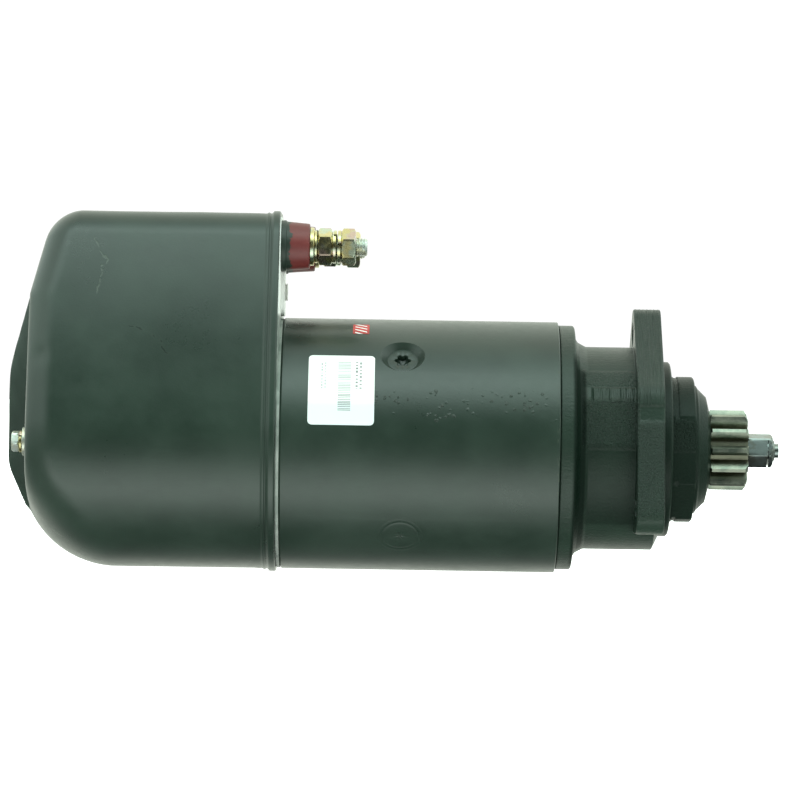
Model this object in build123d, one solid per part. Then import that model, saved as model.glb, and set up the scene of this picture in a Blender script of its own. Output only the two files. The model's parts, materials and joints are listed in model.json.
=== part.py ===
from build123d import *
import math
import os

# A 24 V coaxial sliding-gear starter motor. Millimetres. X runs along the motor axis towards the
# pinion, Z is up towards the terminals, and the origin is where the axis meets the flange face.

# ---- drive end ----
flange_thickness = 14.3
ear_circle_radius = 60.0
ear_radius = 13.5
ear_angles = (90, 210, 330)
side_corner_circle = 47.5
flange_hole_radius = 6.5
pilot_radius = 46.0
pilot_length = 5.1
nose_radius = 38.3
nose_front = 17.8
nose_flats = ((180, 34.0), (230, 35.5))
groove_depth = 0.6
neck_radius = 53.3
rim_radius = 64.3
rim_rear = -53.8
rim_front = -45.5
neck_rear = -39.1
housing_rear = -62.0
clutch_bay_radius = 47.0
clutch_bay_front = -12.0
drive_bearing_radius = 28.0
drive_bearing_front = 10.0
seal_rear = 11.0
seal_front = 16.0

# ---- pole tube ----
tube_radius = 66.0
tube_bore = 58.0
tube_rear = -198.4
tube_front = -54.1
tube_front_edge = 0.4
spigot_radius = 57.9
pole_angles = (45, 135, 225, 315)
pole_x = -135.5
pole_half_length = 36.0
pole_face_radius = 37.5
pole_core_half_width = 14.0
pole_screw_radius = 5.0
pole_head_radius = 8.0
countersink_radius = 11.5
pole_screw_end = 44.0
recess_depth = 3.0
coil_inner = 45.0
coil_outer = 56.0
coil_half_width = 22.0
coil_end = pole_half_length + 14
intermediate_plate_rear = -68.2
through_bolt_circle = 52.0
through_bolt_angles = (104, 284)
through_bolt_radius = 2.5

# ---- commutator end shield and closing cap ----
shield_front = -199.9
shield_rear = -206.0
shield_collar_radius = 65.6
shield_spigot_front = -192.0
shield_bore = 44.0
bridge_front = -235.5
bridge_rear = -243.5
bridge_radius = 58.8
post_circle_radius = 52.0
post_radius = 6.0
bridge_screw_circle = 36.0
bridge_screw_radius = 3.0
rear_bush_radius = 17.0
terminal_50_z = 79.5
cap_wall = 1.6
cap_front = -200.4
cap_floor = -330.0
cap_ridge = -341.6
cap_radius = 66.3
lobe_top = 120.3
side_low_angle = 10.0
side_high_angle = 24.5
side_arc_radius = 400.0
cap_edge_radius = 6.0
cap_heel_radius = 50.0
cap_slant_z = 76.0
cap_tilt = math.radians(13.5)
cap_lip = 1.3
ridge_half_width = 19.0
ridge_top_z = 36.9
ridge_low_z = -13.5
ridge_foot_z = -38.5
cap_screw_y = 36.0
cap_screw_z = -1.0

# ---- armature, clutch and drive ----
shaft_radius = 16.0
rear_journal_radius = 12.0
shaft_front = -51.0
shaft_bore = 5.0
running_gap = 0.05
armature_radius = 36.9
slot_count = 20
winding_overhang = 15.0
commutator_rear = -232.5
riser_rear = -198.0
commutator_front = -191.0
commutator_radius = 26.0
riser_radius = 30.0
commutator_bars = 24
basket_radius = 44.0
basket_bore = 41.0
basket_rear = -56.0
basket_front = -16.0
hub_radius = 22.0
hub_rear = -49.0
hub_front = -17.0
outer_plate_rear = -47.0
inner_plate_rear = -44.5
plate_pitch = 5.0
plate_thickness = 2.0
spindle_radius = 15.0
spline_count = 8
spline_depth = 2.0
spindle_rear = -50.0
rod_radius = 4.0
rod_rear = -296.0
pinion_rear = 26.8
pinion_front = 46.5
pinion_teeth = 12
gear_module = 3.0
pressure_angle = math.radians(20)
pinion_bore = 12.0
nut_across_flats = 16.0
nut_front = 60.4
nut_turn = -14
rod_front = 63.5

# ---- terminals ----
terminal_y = 19.5
terminal_z = 103.2
terminal_31_shift = 2.0
stud_radius = 5.0
stud_front = -154.9
stud_31_front = -156.4
stack_rear = -184.9
insulator_radius = 13.5

# ---- solenoid and control relay ----
solenoid_radius = 44.0
solenoid_bore = 41.0
solenoid_rear = -319.0
solenoid_screw_head = 5.0
plunger_radius = 18.0
plunger_rear = -315.0
plunger_front = -287.0
relay_z = 86.0
relay_radius = 17.0
relay_rear = -312.0
relay_front = -262.0
relay_bore = 15.0
contact_face = -239.9
contact_base_rear = -236.0
contact_base_front = -230.0
contact_post_radius = 3.5
contact_31_z = 88.0
lever_x = -253.0
lever_z = 56.0
lever_pin_radius = 2.0
connector_low = 16.0
connector_high = 28.0

# ---- brushes ----
brush_width = 12.0
brush_length = 20.0
brush_rear = -229.9
brush_inner = 26.3
brush_outer = 48.3
holder_wall = 1.5
holder_play = 0.3
holder_inner = 29.0
holder_roof = 58.0
brush_angles = {"top": 90, "near": 180, "bottom": 270, "far": 0}

# A cut runs this far past the face it opens, so that no skin is left.
over = 1.0


# ---------------------------------------------------------------- shaping helpers
def turned(*points):
    """A solid of revolution about the motor axis, from its (x, radius) corners."""
    outline = make_face(Polyline(*[(x, 0, r) for x, r in points], close=True))
    return revolve(outline, Axis.X, 360)


def rod(x0, x1, radius, y=0.0, z=0.0):
    """A round bar along X."""
    bar = Cylinder(radius, x1 - x0, align=(Align.CENTER, Align.CENTER, Align.MIN))
    return Pos(x0, y, z) * Rot(0, 90, 0) * bar


def ring(x0, x1, outer, inner, y=0.0, z=0.0):
    """A plain ring along X."""
    return rod(x0, x1, outer, y, z) - rod(x0 - over, x1 + over, inner, y, z)


def block(x0, x1, y0, y1, z0, z1):
    """A rectangular block between two corners."""
    centre = Pos((x0 + x1) / 2, (y0 + y1) / 2, (z0 + z1) / 2)
    return centre * Box(x1 - x0, y1 - y0, z1 - z0)


def hexagon(x0, x1, across_flats, y=0.0, z=0.0, turn=0.0):
    """A hexagonal bar along X."""
    section = RegularPolygon(across_flats / 2, 6, major_radius=False)
    return Pos(x0, y, z) * Rot(turn, 0, 0) * Rot(0, 90, 0) * extrude(section, x1 - x0)


def at_angle(shape, angle):
    """A shape made on the +Z side, moved round the axis; 0 is +Y and 90 is +Z."""
    return Rot(angle - 90, 0, 0) * shape


def arc_patch(x0, x1, inner, outer, low_angle, high_angle):
    """A thin curved patch on the -Y side, between two heights given as angles above -Y."""
    section = make_face(Polyline((x0, 0, inner), (x1, 0, inner), (x1, 0, outer), (x0, 0, outer), close=True))
    return Rot(90 - high_angle, 0, 0) * revolve(section, Axis.X, high_angle - low_angle)


def coil_spring(length, radius, wire, turns):
    """A helical spring that stands on the origin along Z."""
    rise = length - wire
    path = Helix(pitch=rise / turns, height=rise, radius=radius)
    section = Plane(origin=path @ 0, z_dir=path % 0) * Circle(wire / 2)
    return Pos(0, 0, wire / 2) * sweep(section, path=path)


def save(node, *shapes):
    """Write one node's solids to its own STEP file."""
    solids = [solid for shape in shapes for solid in shape.solids()]
    export_step(Compound(solids) if len(solids) > 1 else solids[0], f"parts/{node}.step")


# ---------------------------------------------------------------- drive end
def drive_end_housing():
    body = turned(
        (housing_rear, clutch_bay_radius), (housing_rear, spigot_radius), (rim_rear, spigot_radius),
        (rim_rear, rim_radius - 0.4), (rim_rear + 0.4, rim_radius), (rim_front - 0.8, rim_radius),
        (rim_front, rim_radius - 0.8), (rim_front + 0.3, neck_radius + 5),
        (rim_front + 2.2, neck_radius + 2.2), (neck_rear, neck_radius),
        (-3.2, neck_radius), (0, pilot_radius + 0.7),
        (0, pilot_radius), (pilot_length - 0.8, pilot_radius), (pilot_length, pilot_radius - 0.8),
        (pilot_length, nose_radius), (pilot_length + 1.9, nose_radius),
        (pilot_length + 1.9, nose_radius - groove_depth), (pilot_length + 3.9, nose_radius - groove_depth),
        (pilot_length + 3.9, nose_radius),
        (nose_front - 0.8, nose_radius), (nose_front, nose_radius - 0.8), (nose_front, drive_bearing_radius),
        (clutch_bay_front, drive_bearing_radius), (clutch_bay_front, clutch_bay_radius),
    )
    centres = [ear_centre(angle) for angle in ear_angles]
    corners = [centres[0], side_corner(150), centres[1], centres[2], side_corner(30)]
    outline = offset(make_face(Polyline(*[(0, y, z) for y, z in corners], close=True)), ear_radius)
    plate = extrude(outline, flange_thickness, dir=(-1, 0, 0))
    plate = fillet(plate.edges().filter_by(Plane.YZ), 0.8)
    body = body + (plate - rod(-flange_thickness - over, over, pilot_radius + 2))
    for y, z in centres:
        body = body - rod(-flange_thickness - over, over, flange_hole_radius, y, z)
    for y, z in through_bolt_centres():
        body = body - rod(housing_rear - over, tube_front, through_bolt_radius, y, z)
    for angle, depth in nose_flats:
        body = body - at_angle(block(pilot_length, nose_front + over, -60, 60, depth, 60), angle)
    return body


def ear_centre(angle):
    turn = math.radians(angle)
    return ear_circle_radius * math.cos(turn), ear_circle_radius * math.sin(turn)


def side_corner(angle):
    """Centre of the flange's rounded corner between the top ear and a lower one."""
    turn = math.radians(angle)
    return side_corner_circle * math.cos(turn), side_corner_circle * math.sin(turn)


def through_bolt_centres():
    turns = [math.radians(angle) for angle in through_bolt_angles]
    return [(through_bolt_circle * math.cos(turn), through_bolt_circle * math.sin(turn)) for turn in turns]


def nose_seal_cap():
    return turned(
        (nose_front, 15.6), (nose_front, 34.0), (nose_front + 1.5, 33.6), (nose_front + 2.5, 32.0),
        (nose_front + 6.7, 28.0), (nose_front + 8.6, 20.7), (nose_front + 8.6, 15.6),
    )


def intermediate_plate():
    plate = ring(intermediate_plate_rear, housing_rear, spigot_radius, hub_radius)
    for y, z in through_bolt_centres():
        hole = rod(intermediate_plate_rear - over, housing_rear + over, through_bolt_radius + 0.3, y, z)
        plate = plate - hole
    return plate


# ---------------------------------------------------------------- pole tube and field
def countersink(clearance):
    """The countersunk seat of a pole screw on the +Z side; clearance widens the hole for the cutter."""
    seat = tube_radius - (countersink_radius - pole_head_radius)
    neck = seat - (pole_head_radius - pole_screw_radius)
    outline = Polyline(
        (pole_x, 0, tube_bore - 2), (pole_x + pole_screw_radius + clearance, 0, tube_bore - 2),
        (pole_x + pole_screw_radius + clearance, 0, neck), (pole_x + pole_head_radius, 0, seat),
        (pole_x + countersink_radius + over, 0, tube_radius + over), (pole_x, 0, tube_radius + over),
        close=True,
    )
    return revolve(make_face(outline), Axis((pole_x, 0, 0), (0, 0, 1)), 360)


def pole_tube():
    tube = turned(
        (tube_rear, tube_bore), (tube_rear, tube_radius - 1), (tube_rear + 1, tube_radius),
        (tube_front - tube_front_edge, tube_radius), (tube_front, tube_radius - tube_front_edge),
        (tube_front, tube_bore),
    )
    for angle in pole_angles:
        tube = tube - at_angle(countersink(0.1), angle)
    return tube


def pole_screw():
    """A countersunk screw on the +Z side with a six-lobe recess."""
    seat = tube_radius - (countersink_radius - pole_head_radius)
    neck = seat - (pole_head_radius - pole_screw_radius)
    shank = pole_screw_radius - 0.02
    outline = Polyline(
        (pole_x, 0, pole_screw_end), (pole_x + shank, 0, pole_screw_end), (pole_x + shank, 0, neck),
        (pole_x + pole_head_radius - 0.05, 0, seat), (pole_x, 0, seat), close=True,
    )
    screw = revolve(make_face(outline), Axis((pole_x, 0, 0), (0, 0, 1)), 360)
    recess = Circle(3.5)
    for lobe in range(6):
        recess += Rot(0, 0, 60 * lobe) * Pos(3.6, 0) * Circle(0.95)
    return screw - Pos(pole_x, 0, seat - recess_depth) * extrude(recess, recess_depth + over)


def pole_shoe():
    """A pole core and its curved face on the +Z side."""
    x0, x1 = pole_x - pole_half_length, pole_x + pole_half_length
    core = block(x0, x1, -pole_core_half_width, pole_core_half_width, 40, 60) & rod(x0, x1, spigot_radius)
    face = block(x0, x1, -23, 23, 20, 60) & ring(x0, x1, 44, pole_face_radius)
    hole = Pos(pole_x, 0, 42) * Cylinder(pole_screw_radius, 30, align=(Align.CENTER, Align.CENTER, Align.MIN))
    return core + face - hole


def field_coil():
    """A racetrack coil around a pole core on the +Z side."""
    x0, x1 = pole_x - coil_end, pole_x + coil_end
    winding = block(x0, x1, -coil_half_width, coil_half_width, coil_inner, coil_outer)
    room = pole_half_length + 0.5
    side = pole_core_half_width + 0.5
    window = block(pole_x - room, pole_x + room, -side, side, 40, 60)
    corners = winding.edges().filter_by(Axis.Z)
    return (fillet(corners, 8) - window) & rod(x0, x1, tube_bore - 0.3)


def field_connector():
    """The copper bar from the relay's second contact to the field coils."""
    y0, y1 = connector_low, connector_high
    bar_rear, bar_front, low_z, high_z, bar = -224.0, -188.0, 30.0, 40.0, 3.0
    pad = rod(contact_face, contact_base_rear, 8, terminal_y, contact_31_z)
    stem = rod(contact_base_rear, bar_rear, stud_radius, terminal_y, contact_31_z)
    down = block(bar_rear, bar_rear + bar, y0, y1, low_z, 95)
    along = block(bar_rear, bar_front, y0, y1, low_z, low_z + bar)
    out = block(bar_front - bar, bar_front, y0, y1, low_z, high_z + bar)
    tip = block(bar_front, pole_x - coil_end, y0, y1, high_z, high_z + bar)
    return pad + stem + down + along + out + tip


def through_bolts():
    bolts = []
    head = shield_rear - 5
    for y, z in through_bolt_centres():
        shank = rod(shield_rear, tube_front - 0.9, through_bolt_radius, y, z)
        bolt = shank + rod(head, shield_rear, 4.5, y, z)
        bolts.append(bolt - hexagon(head - over, head + 2.5, 4, y, z))
    return bolts


# ---------------------------------------------------------------- commutator end shield
def cap_outline(margin):
    """The egg-shaped outline of the cap in the YZ plane, grown by margin.

    A large arc runs round the bottom, a flatter arc rises on each side, and two corners join the flat top."""
    low, high = math.radians(side_low_angle), math.radians(side_high_angle)
    middle = (low + high) / 2
    steep = (high + math.pi / 2) / 2
    shift = cap_radius - side_arc_radius
    side_y, side_z = shift * math.cos(low), shift * math.sin(low)
    corner_z = side_z + side_arc_radius * math.sin(high)
    corner_radius = (lobe_top - corner_z) / (1 - math.sin(high))
    corner_y = side_y + (side_arc_radius - corner_radius) * math.cos(high)
    corner_z = corner_z - corner_radius * math.sin(high)

    def on_arc(side, centre_y, centre_z, radius, angle):
        return (0, side * (centre_y + radius * math.cos(angle)), centre_z + radius * math.sin(angle))

    def on_side(side, angle):
        return on_arc(side, side_y, side_z, side_arc_radius + margin, angle)

    def on_corner(side, angle):
        return on_arc(side, corner_y, corner_z, corner_radius + margin, angle)

    right_top, left_top = on_corner(1, math.pi / 2), on_corner(-1, math.pi / 2)
    edges = [
        ThreePointArc(on_side(-1, low), (0, 0, -cap_radius - margin), on_side(1, low)),
        ThreePointArc(on_side(1, low), on_side(1, middle), on_side(1, high)),
        ThreePointArc(on_side(1, high), on_corner(1, steep), right_top),
        Line(right_top, left_top),
        ThreePointArc(left_top, on_corner(-1, steep), on_side(-1, high)),
        ThreePointArc(on_side(-1, high), on_side(-1, middle), on_side(-1, low)),
    ]
    return make_face(edges)


def egg_prism(margin, x0, x1):
    return Pos(x0, 0, 0) * extrude(cap_outline(margin), x1 - x0, dir=(1, 0, 0))


def commutator_end_shield():
    shield = egg_prism(-cap_wall - 0.1, shield_rear, shield_front)
    shield = shield + rod(shield_front, tube_rear, shield_collar_radius)
    shield = shield + rod(tube_rear, shield_spigot_front, spigot_radius)
    pad = fillet(block(shield_front - over, -198.0, -12, 12, 67, 92).edges().filter_by(Axis.X), 4)
    past = shield_spigot_front + over
    shield = shield + pad - rod(shield_rear - over, past, shield_bore) - rod(tube_rear, past, shield_bore + 2)
    for angle in pole_angles:
        post = rod(bridge_rear, shield_rear + over, post_radius, 0, post_circle_radius)
        shield = shield + at_angle(post, angle)
    shield = shield + ring(bridge_rear, bridge_front, bridge_radius, rear_bush_radius)
    for y, z in through_bolt_centres():
        shield = shield - rod(shield_rear - over, past, through_bolt_radius + 0.2, y, z)
    for side in (-1, 1):
        hole = rod(shield_rear - over, shield_front + over, stud_radius + 1.2, side * terminal_y, terminal_z)
        shield = shield - hole
    for angle in pole_angles:
        x0, x1 = bridge_rear - over, bridge_front + over
        shield = shield - at_angle(rod(x0, x1, bridge_screw_radius + 0.05, 0, bridge_screw_circle), angle)
    return shield - rod(shield_rear - over, past, 3.2, 0, terminal_50_z)


def terminal_50():
    """The short screened plug pin that leads the control current in."""
    sleeve = rod(-198.0, -196.6, 4.6, 0, terminal_50_z)
    return sleeve + rod(-216, -198.0, 3.1, 0, terminal_50_z)


def brush_plate():
    x0, x1 = shield_rear - 2, shield_rear
    plate = ring(x0, x1, 57, riser_radius)
    for angle in pole_angles:
        plate = plate - at_angle(rod(x0 - over, x1 + over, post_radius + 0.05, 0, post_circle_radius), angle)
    for y, z in through_bolt_centres():
        plate = plate - rod(x0 - over, x1 + over, 4.8, y, z)
    return plate - block(x0 - over, x1 + over, connector_low - 0.5, connector_high + 0.5, 29.5, 33.5)


def brush_holder():
    """A box holder with its roof on the +Z side."""
    x0 = brush_rear - holder_play
    x1 = brush_rear + brush_length + holder_play
    half = brush_width / 2 + holder_play
    wall = holder_wall
    box = block(x0 - wall, x1 + wall, -half - wall, half + wall, holder_inner, holder_roof + wall)
    return box - block(x0, x1, -half, half, holder_inner - over, holder_roof)


def brush():
    """A brush on the +Z side, its foot hollowed to the commutator."""
    front = brush_rear + brush_length
    blank = block(brush_rear, front, -brush_width / 2, brush_width / 2, 20, brush_outer)
    return blank - rod(brush_rear - over, front + over, brush_inner)


def brush_spring():
    """The spring between a brush and its holder's roof, on the +Z side."""
    place = Pos(brush_rear + brush_length / 2, 0, brush_outer + 0.1)
    return place * coil_spring(holder_roof - brush_outer - 0.2, 4.0, 1.0, 4)


# ---------------------------------------------------------------- terminals
def terminal_stack():
    """The stack on each stud: (name, thickness, outer radius), from the shield outwards."""
    return (("washer", 2.2, 10.0), ("spring", 2.0, 8.65), ("nut", 7.5, 0), ("spring", 2.4, 8.65),
            ("spring", 2.4, 8.65), ("nut", 7.5, 0))


def terminal_places():
    """Each stud as (y, shift along X)."""
    return ((-terminal_y, 0.0), (terminal_y, terminal_31_shift))


def terminal_insulators():
    parts = []
    for y, shift in terminal_places():
        body = turned(
            (shield_front, stud_radius + 0.1), (shield_front, insulator_radius),
            (shield_front + 2.6, insulator_radius), (shield_front + 3.0, insulator_radius - 0.4),
            (shield_front + 3.0, insulator_radius - 0.7), (stack_rear + shift, insulator_radius - 1.8),
            (stack_rear + shift, stud_radius + 0.1),
        )
        parts.append(Pos(0, y, terminal_z) * body)
    return parts


def terminal_studs():
    y, z = -terminal_y, terminal_z
    feed = rod(contact_face, contact_base_rear, 8, y, z)
    feed = feed + rod(contact_base_rear, stud_front, stud_radius, y, z)
    earth = rod(shield_rear - 6, shield_rear, 8, terminal_y, z)
    earth = earth + rod(shield_rear, stud_31_front, stud_radius, terminal_y, z)
    studs = []
    for stud in (feed, earth):
        tip = stud.faces().sort_by(Axis.X)[-1].edges()
        studs.append(chamfer(tip, 0.9))
    return studs


def split_washer(x0, x1, outer, bore, y, z):
    """A spring washer with its radial split."""
    gap = block(x0 - over, x1 + over, y - 0.7, y + 0.7, z, z + outer + over)
    return ring(x0, x1, outer, bore, y, z) - gap


def terminal_fasteners(kind):
    parts = []
    for y, shift in terminal_places():
        x = stack_rear + shift
        for name, thickness, radius in terminal_stack():
            bore = stud_radius + 0.02
            if name == kind == "washer":
                parts.append(ring(x, x + thickness, radius, bore + 0.4, y, terminal_z))
            if name == kind == "spring":
                parts.append(split_washer(x, x + thickness, radius, bore + 0.3, y, terminal_z))
            if name == kind == "nut":
                blank = hexagon(x, x + thickness, 17, y, terminal_z)
                rounding = Pos(0, y, terminal_z) * turned(
                    (x, 0), (x, 8.6), (x + 0.8, 9.9), (x + thickness - 0.8, 9.9), (x + thickness, 8.6),
                    (x + thickness, 0),
                )
                parts.append((blank & rounding) - rod(x - over, x + thickness + over, bore, y, terminal_z))
            x += thickness
    return parts


# ---------------------------------------------------------------- closing cap
def heel_cutter(inset):
    """The large rounding under the cap's rear, as a long prism along Y."""
    centre_x = -285.0
    centre_z = cap_heel_radius - cap_radius
    radius = cap_heel_radius - inset
    steep = math.radians(35)
    middle = (centre_x - radius * math.sin(steep), 0, centre_z - radius * math.cos(steep))
    high = 140.0
    side = [
        Line((cap_front + over, 0, centre_z - radius), (cap_front + over, 0, high)),
        Line((cap_front + over, 0, high), (centre_x - radius, 0, high)),
        Line((centre_x - radius, 0, high), (centre_x - radius, 0, centre_z)),
        ThreePointArc((centre_x - radius, 0, centre_z), middle, (centre_x, 0, centre_z - radius)),
        Line((centre_x, 0, centre_z - radius), (cap_front + over, 0, centre_z - radius)),
    ]
    return extrude(make_face(side), 100, dir=(0, 1, 0), both=True)


def rounded_form(inset):
    """The cap's outer form, or its hollow when inset is the wall."""
    tilt = cap_tilt
    floor = cap_floor + inset
    slant_z = cap_slant_z - inset * (1 - math.cos(tilt))
    high, low = 140.0, -100.0
    side = Polyline(
        (cap_front, 0, low), (cap_front, 0, high), (floor + math.tan(tilt) * (high - slant_z), 0, high),
        (floor, 0, slant_z), (floor, 0, low), close=True,
    )
    form = egg_prism(-inset, -345, cap_front) & extrude(make_face(side), 100, dir=(0, 1, 0), both=True)
    rear_edges = [
        edge for edge in form.edges()
        if edge.center().X < -300 and not (abs(edge.center().Y) < 1 and abs(edge.center().Z - slant_z) < 1)
    ]
    form = fillet(rear_edges, cap_edge_radius - inset) & heel_cutter(inset)
    ridge = make_face(Polyline(
        (floor, 0, slant_z), (cap_ridge + inset, 0, ridge_top_z), (cap_ridge + inset, 0, ridge_low_z),
        (floor + 0.2, 0, ridge_foot_z), (floor + 5, 0, ridge_foot_z), (floor + 5, 0, slant_z), close=True,
    ))
    ridge = extrude(ridge, ridge_half_width - inset, dir=(0, 1, 0), both=True)
    return form + ridge


def closing_cap():
    shell = rounded_form(0) - rounded_form(cap_wall)
    lip = egg_prism(cap_lip, cap_front - 4, cap_front) - egg_prism(-cap_wall, cap_front - 5, cap_front + over)
    shell = shell + lip
    for side in (-1, 1):
        shell = shell - rod(cap_floor - over, cap_floor + 3, 3.3, side * cap_screw_y, cap_screw_z)
    return shell


def cap_screws():
    screws = []
    for side in (-1, 1):
        y, z = side * cap_screw_y, cap_screw_z
        shank = rod(cap_floor - 3.7, cap_floor + 10, 2.95, y, z)
        screws.append(hexagon(cap_floor - 7.7, cap_floor - 3.7, 10, y, z) + shank)
    return screws


def cap_washers(kind):
    washers = []
    for side in (-1, 1):
        y, z = side * cap_screw_y, cap_screw_z
        if kind == "flat":
            washers.append(ring(cap_floor - 2.0, cap_floor, 7.5, 3.2, y, z))
        else:
            washers.append(split_washer(cap_floor - 3.7, cap_floor - 2.0, 5.8, 3.2, y, z))
    return washers


# ---------------------------------------------------------------- solenoid and relay
def solenoid_case():
    case = ring(solenoid_rear, bridge_rear, solenoid_radius, solenoid_bore)
    saddle = block(-300, -275, -8, 8, 42, 72) - rod(-301, -274, relay_radius, 0, relay_z)
    case = case + (saddle - rod(-301, -274, solenoid_bore))
    for side in (-1, 1):
        ear = block(-258, -248, side * 6.5 - 1.5, side * 6.5 + 1.5, 42, 61)
        case = case + (ear - rod(-260, -246, solenoid_bore))
    return case - lever_bar(lever_pin_radius, 40)


def lever_bar(radius, length):
    """A round bar along Y on the trip lever's pivot."""
    return Pos(lever_x, 0, lever_z) * Rot(90, 0, 0) * Cylinder(radius, length)


def solenoid_core():
    flange = ring(bridge_rear - 6, bridge_rear, solenoid_bore, shaft_bore)
    stub = ring(-263.5, bridge_rear - 6, plunger_radius, shaft_bore)
    core = flange + stub - rod(-264.5, -251, 12.5)
    for angle in pole_angles:
        hole = rod(bridge_rear - 7, bridge_rear + over, bridge_screw_radius, 0, bridge_screw_circle)
        core = core - at_angle(hole, angle)
    return core


def solenoid_screws():
    screws = []
    for angle in pole_angles:
        shank = rod(bridge_rear - 6, bridge_front, bridge_screw_radius - 0.05, 0, bridge_screw_circle)
        screw = shank + rod(bridge_front, bridge_front + 4, solenoid_screw_head, 0, bridge_screw_circle)
        socket = hexagon(bridge_front + 1.5, bridge_front + 5, 5, 0, bridge_screw_circle)
        screws.append(at_angle(screw - socket, angle))
    return screws


def solenoid_windings():
    x0, x1 = solenoid_rear + 1, bridge_rear - 7
    return [ring(x0, x1, 40.5, 30.0), ring(x0, x1, 29.5, plunger_radius + 0.8)]


def solenoid_end_plate():
    plate = rod(solenoid_rear - 5, solenoid_rear, solenoid_radius)
    for side in (-1, 1):
        plate = plate + rod(cap_floor + cap_wall, solenoid_rear - 4, 7, side * cap_screw_y, cap_screw_z)
        plate = plate - rod(cap_floor, solenoid_rear + over, 3.0, side * cap_screw_y, cap_screw_z)
    return plate


def plunger():
    body = rod(plunger_rear, plunger_front, plunger_radius)
    return body - rod(rod_rear - 0.5, plunger_front + over, rod_radius + 0.6)


def plunger_spring():
    return Pos(plunger_front + 0.1, 0, 0) * Rot(0, 90, 0) * coil_spring(35.8, 10.0, 2.0, 5)


def relay_case():
    shell = ring(relay_rear, relay_front, relay_radius, relay_bore)
    rear = rod(relay_rear, relay_rear + 2, relay_bore + 0.5)
    front = ring(relay_front - 4, relay_front, relay_bore + 0.5, 3.5)
    core = ring(-280, relay_front - 3, 9, 3.5) - rod(-281, -271, 6.3)
    return Pos(0, 0, relay_z) * (shell + rear + front + core)


def relay_armature():
    return Pos(0, 0, relay_z) * (rod(-309, -285, 9) + rod(-286, -243, 3))


def relay_spring():
    return Pos(-284.9, 0, relay_z) * Rot(0, 90, 0) * coil_spring(13.8, 4.9, 1.0, 5)


def contact_bridge():
    bar = block(-247, -244, -30, 30, 78, 108)
    bar = fillet(bar.edges().filter_by(Axis.X), 4)
    return bar - rod(-248, -243, 3.0, 0, relay_z)


def contact_base():
    x0, x1 = contact_base_rear, contact_base_front
    base = fillet(block(x0, x1, -30, 30, 72, 112).edges().filter_by(Axis.X), 8)
    for y, z in ((0, 108), (-14, 77)):
        base = base + rod(x1 - over, shield_rear, contact_post_radius, y, z)
    for y, z in ((-terminal_y, terminal_z), (terminal_y, contact_31_z)):
        base = base - rod(x0 - over, x1 + over, stud_radius + 0.1, y, z)
    return base


def trip_lever():
    blade = block(lever_x - 1.5, lever_x + 1.5, -4.5, 4.5, lever_z - 10, lever_z + 12)
    blade = fillet(blade.edges().filter_by(Axis.X), 1.5)
    return blade + lever_bar(4, 9) - lever_bar(lever_pin_radius + running_gap, 20)


def trip_lever_pin():
    return lever_bar(lever_pin_radius, 16)


# ---------------------------------------------------------------- armature, clutch and drive
def armature_shaft():
    rear = bridge_rear + 1.5
    return turned(
        (rear, shaft_bore), (rear, rear_journal_radius), (bridge_front + 1, rear_journal_radius),
        (bridge_front + 1, 14), (-190, 14), (-190, shaft_radius), (shaft_front, shaft_radius),
        (shaft_front, shaft_bore),
    )


def armature_core():
    x0, x1 = pole_x - pole_half_length, pole_x + pole_half_length
    core = ring(x0, x1, armature_radius, shaft_radius)
    for slot in range(slot_count):
        core = core - at_angle(block(x0 - over, x1 + over, -1.6, 1.6, 24, 40), 360 * slot / slot_count)
    return core


def armature_windings():
    x0, x1 = pole_x - pole_half_length, pole_x + pole_half_length
    winding = ring(x0 - winding_overhang, x0, 33, shaft_radius)
    winding = winding + ring(x1, x1 + winding_overhang, 34, shaft_radius)
    for slot in range(slot_count):
        bar = block(x0 - 1, x1 + 1, -1.5, 1.5, 25, 33)
        winding = winding + at_angle(bar, 360 * slot / slot_count)
    return winding


def commutator():
    drum = turned(
        (commutator_rear, 14), (commutator_rear, commutator_radius), (riser_rear, commutator_radius),
        (riser_rear, riser_radius), (commutator_front, riser_radius), (commutator_front, 14),
    )
    for bar in range(commutator_bars):
        cut = block(commutator_rear - over, riser_rear, -0.4, 0.4, 24.5, 31)
        drum = drum - at_angle(cut, 360 * bar / commutator_bars)
    return drum


def clutch_basket():
    wall = ring(basket_rear, shaft_front, basket_radius, shaft_radius)
    return wall + ring(shaft_front, basket_front, basket_radius, basket_bore)


def plate_pack(first, count, outer, inner):
    """Clutch plates at an even pitch from first on."""
    rears = [first + plate_pitch * step for step in range(count)]
    return [ring(rear, rear + plate_thickness, outer, inner) for rear in rears]


def clutch_outer_plates():
    return plate_pack(outer_plate_rear, 6, basket_bore, 26)


def clutch_inner_plates():
    return plate_pack(inner_plate_rear, 5, 38, hub_radius)


def clutch_hub():
    """The inner hub; its ribs drive the spindle through the spindle's grooves."""
    hub = ring(hub_rear, hub_front, hub_radius, spindle_radius + running_gap)
    for rib in range(spline_count):
        key = block(-30, hub_front, -1.4, 1.4, spindle_radius - spline_depth + 0.3, spindle_radius + 1)
        hub = hub + at_angle(key, 360 * rib / spline_count)
    return hub


def drive_spindle():
    spindle = turned(
        (spindle_rear, rod_radius + 0.6), (spindle_rear, spindle_radius), (pinion_rear, spindle_radius),
        (pinion_rear, pinion_bore), (pinion_front - 1, pinion_bore), (pinion_front - 1, rod_radius + 0.6),
    )
    for groove in range(spline_count):
        bottom = spindle_radius - spline_depth
        cut = block(spindle_rear - over, -16.5, -1.7, 1.7, bottom, spindle_radius + over)
        spindle = spindle - at_angle(cut, 360 * groove / spline_count)
    return spindle


def involute(angle):
    return math.tan(angle) - angle


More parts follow.
